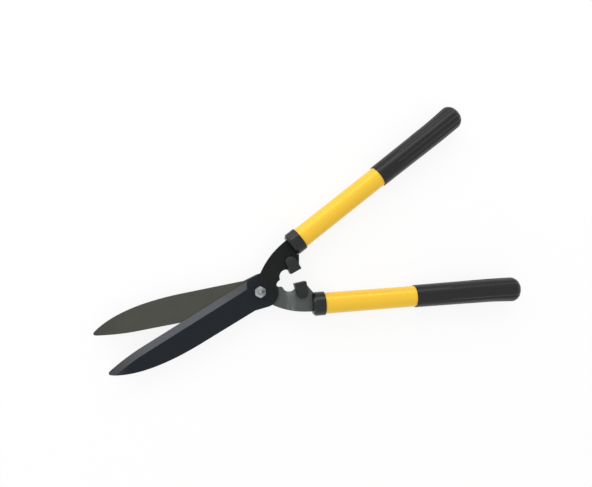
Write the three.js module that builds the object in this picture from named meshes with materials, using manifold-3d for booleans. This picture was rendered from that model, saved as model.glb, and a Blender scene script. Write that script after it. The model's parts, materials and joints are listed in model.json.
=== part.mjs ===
import * as THREE from 'three';
import * as BufferGeometryUtils from 'three/addons/utils/BufferGeometryUtils.js';
import Module from 'manifold-3d';

// Hedge shears: two like halves, one turned over, crossed on a bolt. Millimetres, +Z up.
// A half lies along X with the pivot at its origin: blade to -X, handle to +X, cutting edge to +Y.

// Clearances
const CLEARANCE = 0.3;
const OVERRUN = 2;

// How the shears stand
const OPEN_TURN = THREE.MathUtils.degToRad(10.8);
const CLOSED_TURN = THREE.MathUtils.degToRad(2.9);
const HANDLE_TURN = THREE.MathUtils.degToRad(6.5);

// Blade
const BLADE_REACH = 190;
const BLADE_THICKNESS = 3.4;
const EDGE_OFFSET = 18;
const EDGE_CURVE_LENGTH = 46;
const EDGE_THICKNESS = 0.5;
const BEVEL_WIDTH = 7.7;
const BEVEL_HEEL = 6.5;
const BEVEL_HEEL_LEAN = 4.7;
const TIP_OFFSET = 12.4;
const TIP_WIDTH = 2.4;
const SPINE_OFFSET = 15.5;
const SPINE_CURVE_LENGTH = 105;
const SPINE_CURVE_RISE = 1.2;
const SPINE_STRAIGHT_END = 16;
const HEEL_END = 12;

// Boss round the pivot, with the bite and the scallop that clear the other half
const BOSS_RADIUS = 16.6;
const BOSS_SHIFT_X = 3.6;
const BOSS_SHIFT_Y = 3.9;
const BITE_RADIUS = 4.75;
const BITE_DEPTH = 0.3;
const BITE_TURN = THREE.MathUtils.degToRad(-8.8);
const SCALLOP_RADIUS = 8;
const SCALLOP_X = 35.2;
const SCALLOP_Y = -1.5;
const SCALLOP_END_TURN = THREE.MathUtils.degToRad(35);

// Tang: it steps to the middle plane, carries the bumper's lug and ends as a tongue in the tube
const JOGGLE_SETBACK = 24.2;
const JOGGLE_LENGTH = 5;
const LUG_START = 42.8;
const LUG_WIDTH = 10;
const LUG_DEPTH = 5.2;
const SHOULDER_INNER = 12.4;
const SHOULDER_OUTER = 8.4;
const TONGUE_WIDTH = 10;
const TONGUE_LENGTH = 42;

// Bumper
const BUMPER_START = 41;
const BUMPER_WIDTH = 14.3;
const BUMPER_DEPTH = 19;
const BUMPER_HEIGHT = 13;
const BUMPER_FACE_RUBBER = 3.6;
const BUMPER_ROUND = 5.5;
const BUMPER_CHAMFER = 1.2;

// Ferrule, where the handle starts: its front face's middle seen from the pivot
const HANDLE_X = 58.5;
const HANDLE_Y = 26.06;
const FERRULE_SKIN = 1.2;
const FERRULE_LENGTH = 14.4;
const FERRULE_NOSE_DROP = 2.6;
const FERRULE_NOSE = 2.7;
const FERRULE_REAR_ROUND = 1;
const FERRULE_WALL = 3;

// Tube, with its plug, cross pin and end cap
const TUBE_DIAMETER = 25;
const TUBE_WALL = 1.5;
const TUBE_SHOWN = 120.1;
const PLUG_LENGTH = 46;
const PIN_DIAMETER = 5;
const PIN_SETBACK = 8;
const PIN_CHAMFER = 0.5;
const CAP_PLUG_LENGTH = 9;
const CAP_FLANGE = 2;
const CAP_WALL = 1.6;

// Grip: the rear one has a longer plain sleeve
const GRIP_LENGTH = 129.1;
const REAR_SLEEVE = 8.6;
const GRIP_MOUTH_WALL = 0.8;
const GRIP_GROWTH = 1;
const GRIP_END_WALL = 9;
const GRIP_DOME_LENGTH = 11;
const GRIP_SWELL = 1.5;
const GRIP_SWELL_LENGTH = 30;
const FLUTE_COUNT = 10;
const FLUTE_DEPTH = 0.65;
const FLUTE_TURN = THREE.MathUtils.degToRad(4);
const FLUTE_START = 20;
const FLUTE_LAG = 38;
const FLUTE_RAMP = 8;

// Pivot hardware
const BOLT_DIAMETER = 8;
const HEX_ACROSS_FLATS = 12;
const HEAD_HEIGHT = 5.3;
const HEAD_DISH_RADIUS = 3.9;
const HEAD_DISH_DEPTH = 0.6;
const HEX_CORNER_CUT = 0.8;
const HEAD_TURN = THREE.MathUtils.degToRad(1);
const WASHER_DIAMETER = 16;
const WASHER_THICKNESS = 1.6;
const WAVE_THICKNESS = 0.5;
const WAVE_HEIGHT = 0.35;
const WAVE_COUNT = 3;
const NUT_HEIGHT = 6.3;
const NUT_COLLAR_HEIGHT = 1.7;
const NUT_COLLAR_RADIUS = 5.9;
const INSERT_WALL = 0.9;
const INSERT_HEIGHT = 2;
const BOLT_END_SHOWN = 1.2;

// Facets round a circle and along a curve, and the distance within which two vertices are one
const ROUND_STEPS = 48;
const SMALL_ROUND_STEPS = 32;
const CURVE_STEPS = 12;
const WELD_DISTANCE = 0.0001;

// Heights about the plane where the blades meet
const bladeBottom = CLEARANCE / 2;
const bladeTop = bladeBottom + BLADE_THICKNESS;
const tangTop = BLADE_THICKNESS / 2;
const headSeat = bladeTop + CLEARANCE;
const washerTop = bladeTop + CLEARANCE;
const waveTop = washerTop + WASHER_THICKNESS + CLEARANCE;
const nutTop = waveTop + WAVE_THICKNESS + 2 * WAVE_HEIGHT + CLEARANCE;
const nutBottom = nutTop + NUT_HEIGHT + NUT_COLLAR_HEIGHT;
const PIVOT_HEIGHT = nutBottom + BOLT_END_SHOWN;

// Places along the handle, from the ferrule's front face
const tubeRadius = TUBE_DIAMETER / 2;
const tubeBore = tubeRadius - TUBE_WALL;
const tubeStart = FERRULE_WALL + CLEARANCE;
const gripStart = FERRULE_LENGTH + TUBE_SHOWN;
const gripEnd = gripStart + GRIP_LENGTH;
const boreEnd = gripEnd - GRIP_END_WALL;
const tubeEnd = boreEnd - CAP_FLANGE - 2 * CLEARANCE;
const sleeveBore = tubeRadius + CLEARANCE;
const ferruleRadius = sleeveBore + FERRULE_SKIN;

const wasm = await Module();
wasm.setup();

// Solids from three.js geometry, and back
function solidOf(geometry) {
  const bare = geometry.clone();
  bare.deleteAttribute('normal');
  bare.deleteAttribute('uv');
  const merged = BufferGeometryUtils.mergeVertices(bare, WELD_DISTANCE);
  return new wasm.Manifold(new wasm.Mesh({
    numProp: 3,
    vertProperties: new Float32Array(merged.attributes.position.array),
    triVerts: new Uint32Array(merged.index.array),
  }));
}

function geometryOf(solid) {
  const mesh = solid.getMesh();
  const geometry = new THREE.BufferGeometry();
  geometry.setAttribute('position', new THREE.BufferAttribute(mesh.vertProperties, 3));
  geometry.setIndex(new THREE.BufferAttribute(mesh.triVerts, 1));
  const faceted = geometry.toNonIndexed();
  faceted.computeVertexNormals();
  return faceted;
}

// A shape extruded along Z from a lower to an upper height
function prism(shape, bottom, top) {
  const geometry = new THREE.ExtrudeGeometry(shape, {
    depth: top - bottom,
    bevelEnabled: false,
    curveSegments: CURVE_STEPS,
  });
  return geometry.translate(0, 0, bottom);
}

// A box between two corners
function block(low, high) {
  const size = new THREE.Vector3().subVectors(high, low);
  const middle = new THREE.Vector3().addVectors(low, high).multiplyScalar(0.5);
  return new THREE.BoxGeometry(size.x, size.y, size.z).translate(middle.x, middle.y, middle.z);
}

// A profile of [radius, height] points turned about Z
function turned(profile, steps = ROUND_STEPS) {
  const points = profile.map(([radius, height]) => new THREE.Vector2(radius, height));
  return new THREE.LatheGeometry(points, steps).rotateX(Math.PI / 2);
}

// The same about X, from the ferrule towards the grip's end
function turnedAlongHandle(profile, steps = ROUND_STEPS) {
  return turned(profile, steps).rotateY(Math.PI / 2);
}

// A closed ring's profile: inner and outer radius, lower and upper height
function ringProfile(inner, outer, bottom, top) {
  return [[inner, bottom], [outer, bottom], [outer, top], [inner, top], [inner, bottom]];
}

// A solid through like sections, each a ring of points, with a face at either end
function through(sections) {
  const count = sections[0].length;
  const last = (sections.length - 1) * count;
  const index = [];
  for (let start = 0; start < last; start += count) {
    for (let i = 0; i < count; i += 1) {
      const next = (i + 1) % count;
      index.push(start + i, start + count + next, start + next);
      index.push(start + i, start + count + i, start + count + next);
    }
  }
  for (let i = 1; i < count - 1; i += 1) {
    index.push(0, i, i + 1);
    index.push(last, last + i + 1, last + i);
  }
  const geometry = new THREE.BufferGeometry().setFromPoints(sections.flat());
  return geometry.setIndex(index);
}

// A cylinder across the handle's middle plane
function crossPin(radius, reach, setback) {
  return new THREE.CylinderGeometry(radius, radius, 2 * reach, SMALL_ROUND_STEPS)
    .rotateX(Math.PI / 2)
    .translate(setback, 0, 0);
}

// A point of the handle's own frame, seen from the pivot
function onHandle(along, across) {
  return new THREE.Vector2(along, across)
    .rotateAround(new THREE.Vector2(), HANDLE_TURN)
    .add(new THREE.Vector2(HANDLE_X, HANDLE_Y));
}

// Where two circles meet, left and right of the line from the first middle to the second
function circlesMeet(first, firstRadius, second, secondRadius) {
  const between = new THREE.Vector2().subVectors(second, first);
  const span = between.length();
  const along = (span ** 2 + firstRadius ** 2 - secondRadius ** 2) / (2 * span);
  const aside = Math.sqrt(Math.max(firstRadius ** 2 - along ** 2, 0));
  const meeting = (side) => new THREE.Vector2(along, side)
    .rotateAround(new THREE.Vector2(), between.angle())
    .add(first);
  return { left: meeting(aside), right: meeting(-aside) };
}

function turnTo(from, to) {
  return Math.atan2(to.y - from.y, to.x - from.x);
}

// Stamping: outline of blade, boss and tang
const bossMiddle = new THREE.Vector2(BOSS_SHIFT_X, -BOSS_SHIFT_Y);
const biteMiddle = new THREE.Vector2(BOSS_RADIUS + BITE_RADIUS - BITE_DEPTH, 0)
  .rotateAround(new THREE.Vector2(), BITE_TURN)
  .add(bossMiddle);
const scallopMiddle = new THREE.Vector2(SCALLOP_X, SCALLOP_Y);
const tipLow = new THREE.Vector2(-BLADE_REACH, TIP_OFFSET - TIP_WIDTH / 2);
const tipHigh = new THREE.Vector2(-BLADE_REACH, TIP_OFFSET + TIP_WIDTH / 2);
const edgeCurveStart = EDGE_CURVE_LENGTH - BLADE_REACH;
const lugFace = BUMPER_FACE_RUBBER - (LUG_START + LUG_WIDTH) * Math.tan(CLOSED_TURN);

// The spine's curve leaves the tip steeply: its two control points, as shares of its length and height
const spineControlShares = [[0.17, 0.56], [0.48, 0.97]];
const edgeControlShare = 0.45;
const cornerRoundShare = 0.24;
const neckControlShares = [[0.26, 0.49], [0.52, 0.82]];

const edgeCurve = new THREE.QuadraticBezierCurve(
  new THREE.Vector2(edgeCurveStart, EDGE_OFFSET),
  new THREE.Vector2(edgeCurveStart - edgeControlShare * EDGE_CURVE_LENGTH, EDGE_OFFSET),
  tipHigh,
);

function stampingOutline() {
  const spineEnd = new THREE.Vector2(SPINE_CURVE_LENGTH - BLADE_REACH, SPINE_CURVE_RISE - SPINE_OFFSET);
  const spineControls = spineControlShares.map(([along, down]) => new THREE.Vector2(
    tipLow.x + along * SPINE_CURVE_LENGTH,
    tipLow.y + down * (spineEnd.y - tipLow.y),
  ));
  const spineStraightEnd = new THREE.Vector2(-SPINE_STRAIGHT_END, -SPINE_OFFSET);
  const bossReach = spineStraightEnd.distanceTo(bossMiddle);
  const bossStart = turnTo(bossMiddle, spineStraightEnd) + Math.acos(BOSS_RADIUS / bossReach);
  const bossEnd = turnTo(bossMiddle, circlesMeet(bossMiddle, BOSS_RADIUS, biteMiddle, BITE_RADIUS).right);

  const corner = circlesMeet(biteMiddle, BITE_RADIUS, scallopMiddle, SCALLOP_RADIUS).left;
  const biteStart = turnTo(biteMiddle, circlesMeet(bossMiddle, BOSS_RADIUS, biteMiddle, BITE_RADIUS).right);
  const biteCorner = turnTo(biteMiddle, corner);
  const biteSweep = (biteStart + 2 * Math.PI - biteCorner) % (2 * Math.PI);
  const biteEnd = biteCorner + cornerRoundShare * biteSweep;
  const scallopCorner = turnTo(scallopMiddle, corner);
  const scallopSweep = (scallopCorner + 2 * Math.PI - SCALLOP_END_TURN) % (2 * Math.PI);
  const scallopStart = scallopCorner - cornerRoundShare * scallopSweep;
  const scallopFirst = new THREE.Vector2(SCALLOP_RADIUS, 0)
    .rotateAround(new THREE.Vector2(), scallopStart)
    .add(scallopMiddle);

  const shoulderX = -CLEARANCE;
  const innerShoulder = onHandle(shoulderX, -SHOULDER_INNER);
  const innerRoot = onHandle(shoulderX, -TONGUE_WIDTH / 2);
  const innerTongue = onHandle(TONGUE_LENGTH, -TONGUE_WIDTH / 2);
  const outerTongue = onHandle(TONGUE_LENGTH, TONGUE_WIDTH / 2);
  const outerRoot = onHandle(shoulderX, TONGUE_WIDTH / 2);
  const outerShoulder = onHandle(shoulderX, SHOULDER_OUTER);
  const neck = neckControlShares.map(([along, up]) => new THREE.Vector2(
    HEEL_END + along * (outerShoulder.x - HEEL_END),
    EDGE_OFFSET + up * (outerShoulder.y - EDGE_OFFSET),
  ));

  const shape = new THREE.Shape();
  shape.moveTo(tipLow.x, tipLow.y);
  shape.bezierCurveTo(
    spineControls[0].x, spineControls[0].y,
    spineControls[1].x, spineControls[1].y,
    spineEnd.x, spineEnd.y,
  );
  shape.lineTo(spineStraightEnd.x, spineStraightEnd.y);
  shape.absarc(bossMiddle.x, bossMiddle.y, BOSS_RADIUS, bossStart, bossEnd, false);
  shape.absarc(biteMiddle.x, biteMiddle.y, BITE_RADIUS, biteStart, biteEnd, true);
  shape.quadraticCurveTo(corner.x, corner.y, scallopFirst.x, scallopFirst.y);
  shape.absarc(scallopMiddle.x, scallopMiddle.y, SCALLOP_RADIUS, scallopStart, SCALLOP_END_TURN, true);
  shape.lineTo(LUG_START, lugFace);
  shape.lineTo(LUG_START + LUG_WIDTH, lugFace);
  shape.lineTo(LUG_START + LUG_WIDTH, lugFace + LUG_DEPTH);
  shape.lineTo(innerShoulder.x, innerShoulder.y);
  shape.lineTo(innerRoot.x, innerRoot.y);
  shape.lineTo(innerTongue.x, innerTongue.y);
  shape.lineTo(outerTongue.x, outerTongue.y);
  shape.lineTo(outerRoot.x, outerRoot.y);
  shape.lineTo(outerShoulder.x, outerShoulder.y);
  shape.bezierCurveTo(neck[1].x, neck[1].y, neck[0].x, neck[0].y, HEEL_END, EDGE_OFFSET);
  shape.lineTo(edgeCurveStart, EDGE_OFFSET);
  shape.quadraticCurveTo(edgeCurve.v1.x, edgeCurve.v1.y, tipHigh.x, tipHigh.y);
  shape.closePath();
  return shape;
}

// The sheet's side view: flat at the blade, stepped down to the middle plane at the tang
function joggledSheet() {
  const far = BLADE_REACH + HANDLE_X + OVERRUN;
  const end = TONGUE_LENGTH + OVERRUN;
  const joggleEnd = -JOGGLE_SETBACK;
  const joggleStart = joggleEnd - JOGGLE_LENGTH;
  const side = new THREE.Shape([
    new THREE.Vector2(-far, bladeBottom),
    new THREE.Vector2(joggleStart, bladeBottom),
    new THREE.Vector2(joggleEnd, -tangTop),
    new THREE.Vector2(end, -tangTop),
    new THREE.Vector2(end, tangTop),
    new THREE.Vector2(joggleEnd, tangTop),
    new THREE.Vector2(joggleStart, bladeTop),
    new THREE.Vector2(-far, bladeTop),
  ]);
  return prism(side, -BLADE_REACH, BLADE_REACH)
    .rotateX(Math.PI / 2)
    .rotateZ(HANDLE_TURN)
    .translate(HANDLE_X, HANDLE_Y, 0);
}

// Bevel: one wedge carried along the cutting edge, from the heel's lean to past the tip
function bevelCut() {
  const low = bladeBottom + EDGE_THICKNESS;
  const rise = (BLADE_THICKNESS - EDGE_THICKNESS) / BEVEL_WIDTH;
  const section = (point, inward) => {
    const outside = point.clone().addScaledVector(inward, -OVERRUN);
    const inside = point.clone().addScaledVector(inward, BEVEL_WIDTH + OVERRUN);
    const top = low + rise * (BEVEL_WIDTH + OVERRUN);
    return [
      new THREE.Vector3(outside.x, outside.y, low - rise * OVERRUN),
      new THREE.Vector3(outside.x, outside.y, top),
      new THREE.Vector3(inside.x, inside.y, top),
    ];
  };
  const heel = section(
    new THREE.Vector2(-BEVEL_HEEL, EDGE_OFFSET),
    new THREE.Vector2(-BEVEL_HEEL_LEAN / BEVEL_WIDTH, -1),
  );
  const along = edgeCurve.getPoints(CURVE_STEPS).map((point, i) => {
    const tangent = edgeCurve.getTangent(i / CURVE_STEPS);
    return section(point, new THREE.Vector2(-tangent.y, tangent.x));
  });
  const tangent = edgeCurve.getTangent(1);
  const pastTip = section(
    tipHigh.clone().addScaledVector(tangent, OVERRUN),
    new THREE.Vector2(-tangent.y, tangent.x),
  );
  return through([heel, ...along, pastTip]);
}

function stamping(pivotHole) {
  const outline = stampingOutline();
  const sheet = solidOf(prism(outline, -BLADE_THICKNESS, bladeTop + OVERRUN))
    .intersect(solidOf(joggledSheet()));
  const pinHole = crossPin(PIN_DIAMETER / 2 + CLEARANCE, BLADE_THICKNESS, PIN_SETBACK)
    .rotateZ(HANDLE_TURN)
    .translate(HANDLE_X, HANDLE_Y, 0);
  return sheet
    .subtract(solidOf(bevelCut()))
    .subtract(solidOf(pivotHole))
    .subtract(solidOf(pinHole));
}

function squareHole() {
  const half = BOLT_DIAMETER / 2 + CLEARANCE;
  return block(
    new THREE.Vector3(-half, -half, bladeBottom - OVERRUN),
    new THREE.Vector3(half, half, bladeTop + OVERRUN),
  );
}

function roundHole() {
  return new THREE.CylinderGeometry(
    BOLT_DIAMETER / 2 + CLEARANCE,
    BOLT_DIAMETER / 2 + CLEARANCE,
    BLADE_THICKNESS + 2 * OVERRUN,
    SMALL_ROUND_STEPS,
  ).rotateX(Math.PI / 2).translate(0, 0, bladeBottom + BLADE_THICKNESS / 2);
}

// Bumper: a rubber block over the lug, with a rounded back and a face that lies on the closing plane
function bumper() {
  const half = BUMPER_HEIGHT / 2;
  const middle = BUMPER_WIDTH / 2;
  const roundsAt = BUMPER_DEPTH - BUMPER_ROUND;
  const outline = new THREE.Shape();
  outline.moveTo(-middle + BUMPER_CHAMFER, 0);
  outline.lineTo(middle - BUMPER_CHAMFER, 0);
  outline.lineTo(middle, BUMPER_CHAMFER);
  outline.lineTo(middle, roundsAt);
  outline.absarc(middle - BUMPER_ROUND, roundsAt, BUMPER_ROUND, 0, Math.PI / 2, false);
  outline.absarc(BUMPER_ROUND - middle, roundsAt, BUMPER_ROUND, Math.PI / 2, Math.PI, false);
  outline.lineTo(-middle, BUMPER_CHAMFER);
  outline.closePath();
  const rubber = new THREE.ExtrudeGeometry(outline, {
    depth: BUMPER_HEIGHT - 2 * BUMPER_CHAMFER,
    bevelEnabled: true,
    bevelThickness: BUMPER_CHAMFER,
    bevelSize: BUMPER_CHAMFER,
    bevelOffset: -BUMPER_CHAMFER,
    bevelSegments: 1,
    curveSegments: 6,
  })
    .translate(BUMPER_START + middle, CLEARANCE, BUMPER_CHAMFER - half)
    .rotateZ(-CLOSED_TURN);

  // Its slot takes the lug and the tang's sheet, with the same clearance all round
  const lugStart = LUG_START - CLEARANCE;
  const lugEnd = LUG_START + LUG_WIDTH + CLEARANCE;
  const scallopSide = SCALLOP_Y + Math.sqrt(SCALLOP_RADIUS ** 2 - (BUMPER_START - SCALLOP_X) ** 2);
  const scallopEnd = new THREE.Vector2(SCALLOP_RADIUS, 0)
    .rotateAround(new THREE.Vector2(), SCALLOP_END_TURN)
    .add(scallopMiddle);
  const innerShoulder = onHandle(-CLEARANCE, -SHOULDER_INNER);
  const slot = new THREE.Shape([
    new THREE.Vector2(lugStart, lugFace - CLEARANCE),
    new THREE.Vector2(lugEnd, lugFace - CLEARANCE),
    new THREE.Vector2(lugEnd, lugFace + LUG_DEPTH - CLEARANCE),
    new THREE.Vector2(innerShoulder.x + CLEARANCE, innerShoulder.y - CLEARANCE),
    new THREE.Vector2(innerShoulder.x + CLEARANCE, 2 * BUMPER_DEPTH),
    new THREE.Vector2(BUMPER_START - OVERRUN, 2 * BUMPER_DEPTH),
    new THREE.Vector2(BUMPER_START - OVERRUN, scallopSide),
    new THREE.Vector2(BUMPER_START, scallopSide - CLEARANCE),
    new THREE.Vector2(scallopEnd.x - CLEARANCE, scallopEnd.y - CLEARANCE),
  ]);
  const sheet = prism(slot, -tangTop - CLEARANCE, tangTop + CLEARANCE);
  return solidOf(rubber).subtract(solidOf(sheet));
}

// Ferrule: a collar with a tapered nose, a slot for the tongue and a socket for the tube
function ferrule() {
  const outside = turnedAlongHandle([
    [0, 0],
    [ferruleRadius - FERRULE_NOSE_DROP, 0],
    [ferruleRadius - FERRULE_REAR_ROUND, FERRULE_NOSE - FERRULE_REAR_ROUND],
    [ferruleRadius, FERRULE_NOSE],
    [ferruleRadius, FERRULE_LENGTH - FERRULE_REAR_ROUND],
    [ferruleRadius - FERRULE_REAR_ROUND, FERRULE_LENGTH],
    [0, FERRULE_LENGTH],
  ]);
  const socket = turnedAlongHandle([
    [0, FERRULE_WALL],
    [sleeveBore, FERRULE_WALL],
    [sleeveBore, FERRULE_LENGTH + OVERRUN],
    [0, FERRULE_LENGTH + OVERRUN],
  ]);
  const slotHalf = TONGUE_WIDTH / 2 + CLEARANCE;
  const slot = block(
    new THREE.Vector3(-OVERRUN, -slotHalf, -tangTop - CLEARANCE),
    new THREE.Vector3(FERRULE_WALL + OVERRUN, slotHalf, tangTop + CLEARANCE),
  );
  return solidOf(outside).subtract(solidOf(socket)).subtract(solidOf(slot));
}

// Tube, with the cross pin's holes under the ferrule
function tube() {
  return solidOf(turnedAlongHandle(ringProfile(tubeBore, tubeRadius, tubeStart, tubeEnd)))
    .subtract(solidOf(crossPin(PIN_DIAMETER / 2 + CLEARANCE, TUBE_DIAMETER, PIN_SETBACK)));
}

// Plug: the core in the tube's mouth that the tongue is driven into
function tangPlug() {
  const core = turnedAlongHandle([
    [0, tubeStart],
    [tubeBore - CLEARANCE, tubeStart],
    [tubeBore - CLEARANCE, PLUG_LENGTH - PIN_CHAMFER],
    [tubeBore - CLEARANCE - PIN_CHAMFER, PLUG_LENGTH],
    [0, PLUG_LENGTH],
  ], SMALL_ROUND_STEPS);
  const slotHalf = TONGUE_WIDTH / 2 + CLEARANCE;
  const slot = block(
    new THREE.Vector3(0, -slotHalf, -tangTop - CLEARANCE),
    new THREE.Vector3(TONGUE_LENGTH + CLEARANCE, slotHalf, tangTop + CLEARANCE),
  );
  return solidOf(core)
    .subtract(solidOf(slot))
    .subtract(solidOf(crossPin(PIN_DIAMETER / 2 + CLEARANCE, TUBE_DIAMETER, PIN_SETBACK)));
}

// Cross pin: chamfered ends just inside the ferrule's socket
function tangPin() {
  const radius = PIN_DIAMETER / 2;
  const reach = Math.sqrt(tubeRadius ** 2 - radius ** 2);
  const pin = turned([
    [0, -reach],
    [radius - PIN_CHAMFER, -reach],
    [radius, PIN_CHAMFER - reach],
    [radius, reach - PIN_CHAMFER],
    [radius - PIN_CHAMFER, reach],
    [0, reach],
  ], SMALL_ROUND_STEPS);
  return solidOf(pin.translate(PIN_SETBACK, 0, 0));
}

// End cap: a hollow plug with a flange over the tube's far end
function tubeEndCap() {
  const plugRadius = tubeBore - CLEARANCE;
  const flangeStart = tubeEnd + CLEARANCE;
  return solidOf(turnedAlongHandle([
    [0, flangeStart],
    [plugRadius - CAP_WALL, flangeStart],
    [plugRadius - CAP_WALL, flangeStart - CAP_PLUG_LENGTH],
    [plugRadius, flangeStart - CAP_PLUG_LENGTH],
    [plugRadius, flangeStart],
    [tubeRadius, flangeStart],
    [tubeRadius, flangeStart + CAP_FLANGE],
    [0, flangeStart + CAP_FLANGE],
  ], SMALL_ROUND_STEPS));
}

// Grip: a sleeve with a domed end, swelling to the outer side, with flutes that start later towards the sides
const gripSteps = 6 * FLUTE_COUNT;
const gripRingShares = [0.03, 0.17, 0.23, 0.29, 0.38, 0.46, 0.53, 0.7, 0.77, 0.84, 0.88, 0.91];
const domeSteps = 5;
const domeStart = gripEnd - GRIP_DOME_LENGTH;

function gripRadius(along) {
  const mouth = sleeveBore + GRIP_MOUTH_WALL;
  const wall = mouth + GRIP_GROWTH * (along - gripStart) / GRIP_LENGTH;
  const into = Math.max(along - domeStart, 0) / GRIP_DOME_LENGTH;
  return wall * Math.sqrt(Math.max(1 - into ** 2, 0));
}

// How far the flutes and the swell move a point of the grip's outside in or out, at a turn from +Z to +Y
function gripRelief(along, turn) {
  const smooth = THREE.MathUtils.smoothstep;
  const fluteStart = gripStart + FLUTE_START + FLUTE_LAG * Math.sin(turn) ** 2;
  const ramp = smooth(along, fluteStart, fluteStart + FLUTE_RAMP);
  const flute = Math.max(Math.cos(FLUTE_COUNT * (turn - FLUTE_TURN)), 0) ** 2;
  const swellStart = gripEnd - GRIP_SWELL_LENGTH;
  const swell = smooth(along, swellStart, swellStart + GRIP_SWELL_LENGTH / 2);
  const outward = Math.max(Math.sin(turn), 0) ** 2;
  const fullness = gripRadius(along) / gripRadius(domeStart);
  return (GRIP_SWELL * swell * outward - FLUTE_DEPTH * ramp * flute) * Math.min(fullness, 1);
}

function grip(mouth) {
  const outside = gripRingShares.map((share) => gripStart + share * GRIP_LENGTH);
  outside.unshift(mouth);
  for (let i = 0; i < domeSteps; i += 1) {
    outside.push(domeStart + GRIP_DOME_LENGTH * Math.sin((i / domeSteps) * Math.PI / 2));
  }
  const bore = [[0, boreEnd], [sleeveBore, boreEnd], [sleeveBore, mouth]];
  const profile = [...bore, ...outside.map((along) => [gripRadius(along), along]), [0, gripEnd]];
  const geometry = turnedAlongHandle(profile, gripSteps);
  const position = geometry.attributes.position;
  for (let i = 0; i < position.count; i += 1) {
    const ring = i % profile.length;
    if (ring >= bore.length && ring < profile.length - 1) {
      const turn = Math.atan2(position.getY(i), position.getZ(i));
      const radius = Math.hypot(position.getY(i), position.getZ(i))
        + gripRelief(position.getX(i), turn);
      position.setY(i, Math.sin(turn) * radius);
      position.setZ(i, Math.cos(turn) * radius);
    }
  }
  return solidOf(geometry);
}

// Hexagon with its corners cut by a cone at one end or both
function hexagon(acrossFlats, bottom, top, cutBottom, cutTop) {
  const radius = acrossFlats / Math.sqrt(3);
  const corners = [...Array(6)].map((_, i) => new THREE.Vector2(radius, 0)
    .rotateAround(new THREE.Vector2(), (i / 6) * 2 * Math.PI));
  const flat = acrossFlats / 2;
  const wide = radius + OVERRUN;
  const drop = (wide - flat) * Math.tan(Math.PI / 6);
  const envelope = [
    [0, bottom],
    ...(cutBottom ? [[flat, bottom], [wide, bottom + drop]] : [[wide, bottom]]),
    ...(cutTop ? [[wide, top - drop], [flat, top]] : [[wide, top]]),
    [0, top],
  ];
  return solidOf(prism(new THREE.Shape(corners), bottom, top))
    .intersect(solidOf(turned(envelope)));
}

// Pivot bolt: dished hex head, square neck in the front blade, round shank through the rest
function pivotBolt() {
  const radius = BOLT_DIAMETER / 2;
  const head = hexagon(HEX_ACROSS_FLATS, headSeat, headSeat + HEAD_HEIGHT, false, true);
  const dish = turned([
    [0, headSeat + HEAD_HEIGHT - HEAD_DISH_DEPTH],
    [HEAD_DISH_RADIUS - HEAD_DISH_DEPTH, headSeat + HEAD_HEIGHT - HEAD_DISH_DEPTH],
    [HEAD_DISH_RADIUS + OVERRUN, headSeat + HEAD_HEIGHT + OVERRUN],
    [0, headSeat + HEAD_HEIGHT + OVERRUN],
  ], SMALL_ROUND_STEPS);
  const neck = block(
    new THREE.Vector3(-radius, -radius, bladeBottom),
    new THREE.Vector3(radius, radius, headSeat + OVERRUN),
  );
  const shank = turned([
    [0, -PIVOT_HEIGHT],
    [radius - HEX_CORNER_CUT, -PIVOT_HEIGHT],
    [radius, HEX_CORNER_CUT - PIVOT_HEIGHT],
    [radius, headSeat + OVERRUN],
    [0, headSeat + OVERRUN],
  ], SMALL_ROUND_STEPS);
  const turnedHead = solidOf(geometryOf(head.subtract(solidOf(dish))).rotateZ(HEAD_TURN));
  return turnedHead.add(solidOf(neck)).add(solidOf(shank));
}

function flatWasher() {
  const inner = BOLT_DIAMETER / 2 + CLEARANCE;
  return solidOf(turned(
    ringProfile(inner, WASHER_DIAMETER / 2, -washerTop - WASHER_THICKNESS, -washerTop),
    SMALL_ROUND_STEPS,
  ));
}

// Wave washer: a thin ring whose height follows a cosine
function waveWasher() {
  const inner = BOLT_DIAMETER / 2 + CLEARANCE;
  const top = -waveTop - WAVE_HEIGHT;
  const geometry = turned(ringProfile(inner, HEX_ACROSS_FLATS / 2, top - WAVE_THICKNESS, top));
  const position = geometry.attributes.position;
  for (let i = 0; i < position.count; i += 1) {
    const turn = Math.atan2(position.getY(i), position.getX(i));
    position.setZ(i, position.getZ(i) + WAVE_HEIGHT * Math.cos(WAVE_COUNT * turn));
  }
  return solidOf(geometry);
}

// Lock nut: hexagon, round collar and a counterbore that holds the insert
const insertOuter = BOLT_DIAMETER / 2 + CLEARANCE + INSERT_WALL;
const insertBottom = -nutBottom + CLEARANCE;

function lockNut() {
  const inner = BOLT_DIAMETER / 2 + CLEARANCE;
  const collarTop = -nutTop - NUT_HEIGHT;
  const hex = hexagon(HEX_ACROSS_FLATS, collarTop, -nutTop, true, true);
  const collar = turned([
    [0, -nutBottom],
    [NUT_COLLAR_RADIUS - HEX_CORNER_CUT / 2, -nutBottom],
    [NUT_COLLAR_RADIUS, -nutBottom + HEX_CORNER_CUT / 2],
    [NUT_COLLAR_RADIUS, collarTop + OVERRUN],
    [0, collarTop + OVERRUN],
  ], SMALL_ROUND_STEPS);
  const bore = turned([
    [0, -nutBottom - OVERRUN],
    [insertOuter + CLEARANCE, -nutBottom - OVERRUN],
    [insertOuter + CLEARANCE, insertBottom + INSERT_HEIGHT + CLEARANCE],
    [inner, insertBottom + INSERT_HEIGHT + CLEARANCE],
    [inner, -nutTop + OVERRUN],
    [0, -nutTop + OVERRUN],
  ], SMALL_ROUND_STEPS);
  return hex.add(solidOf(collar)).subtract(solidOf(bore));
}

function nutInsert() {
  const inner = BOLT_DIAMETER / 2 + CLEARANCE;
  return solidOf(turned(
    ringProfile(inner, insertOuter, insertBottom, insertBottom + INSERT_HEIGHT),
    SMALL_ROUND_STEPS,
  ));
}

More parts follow.
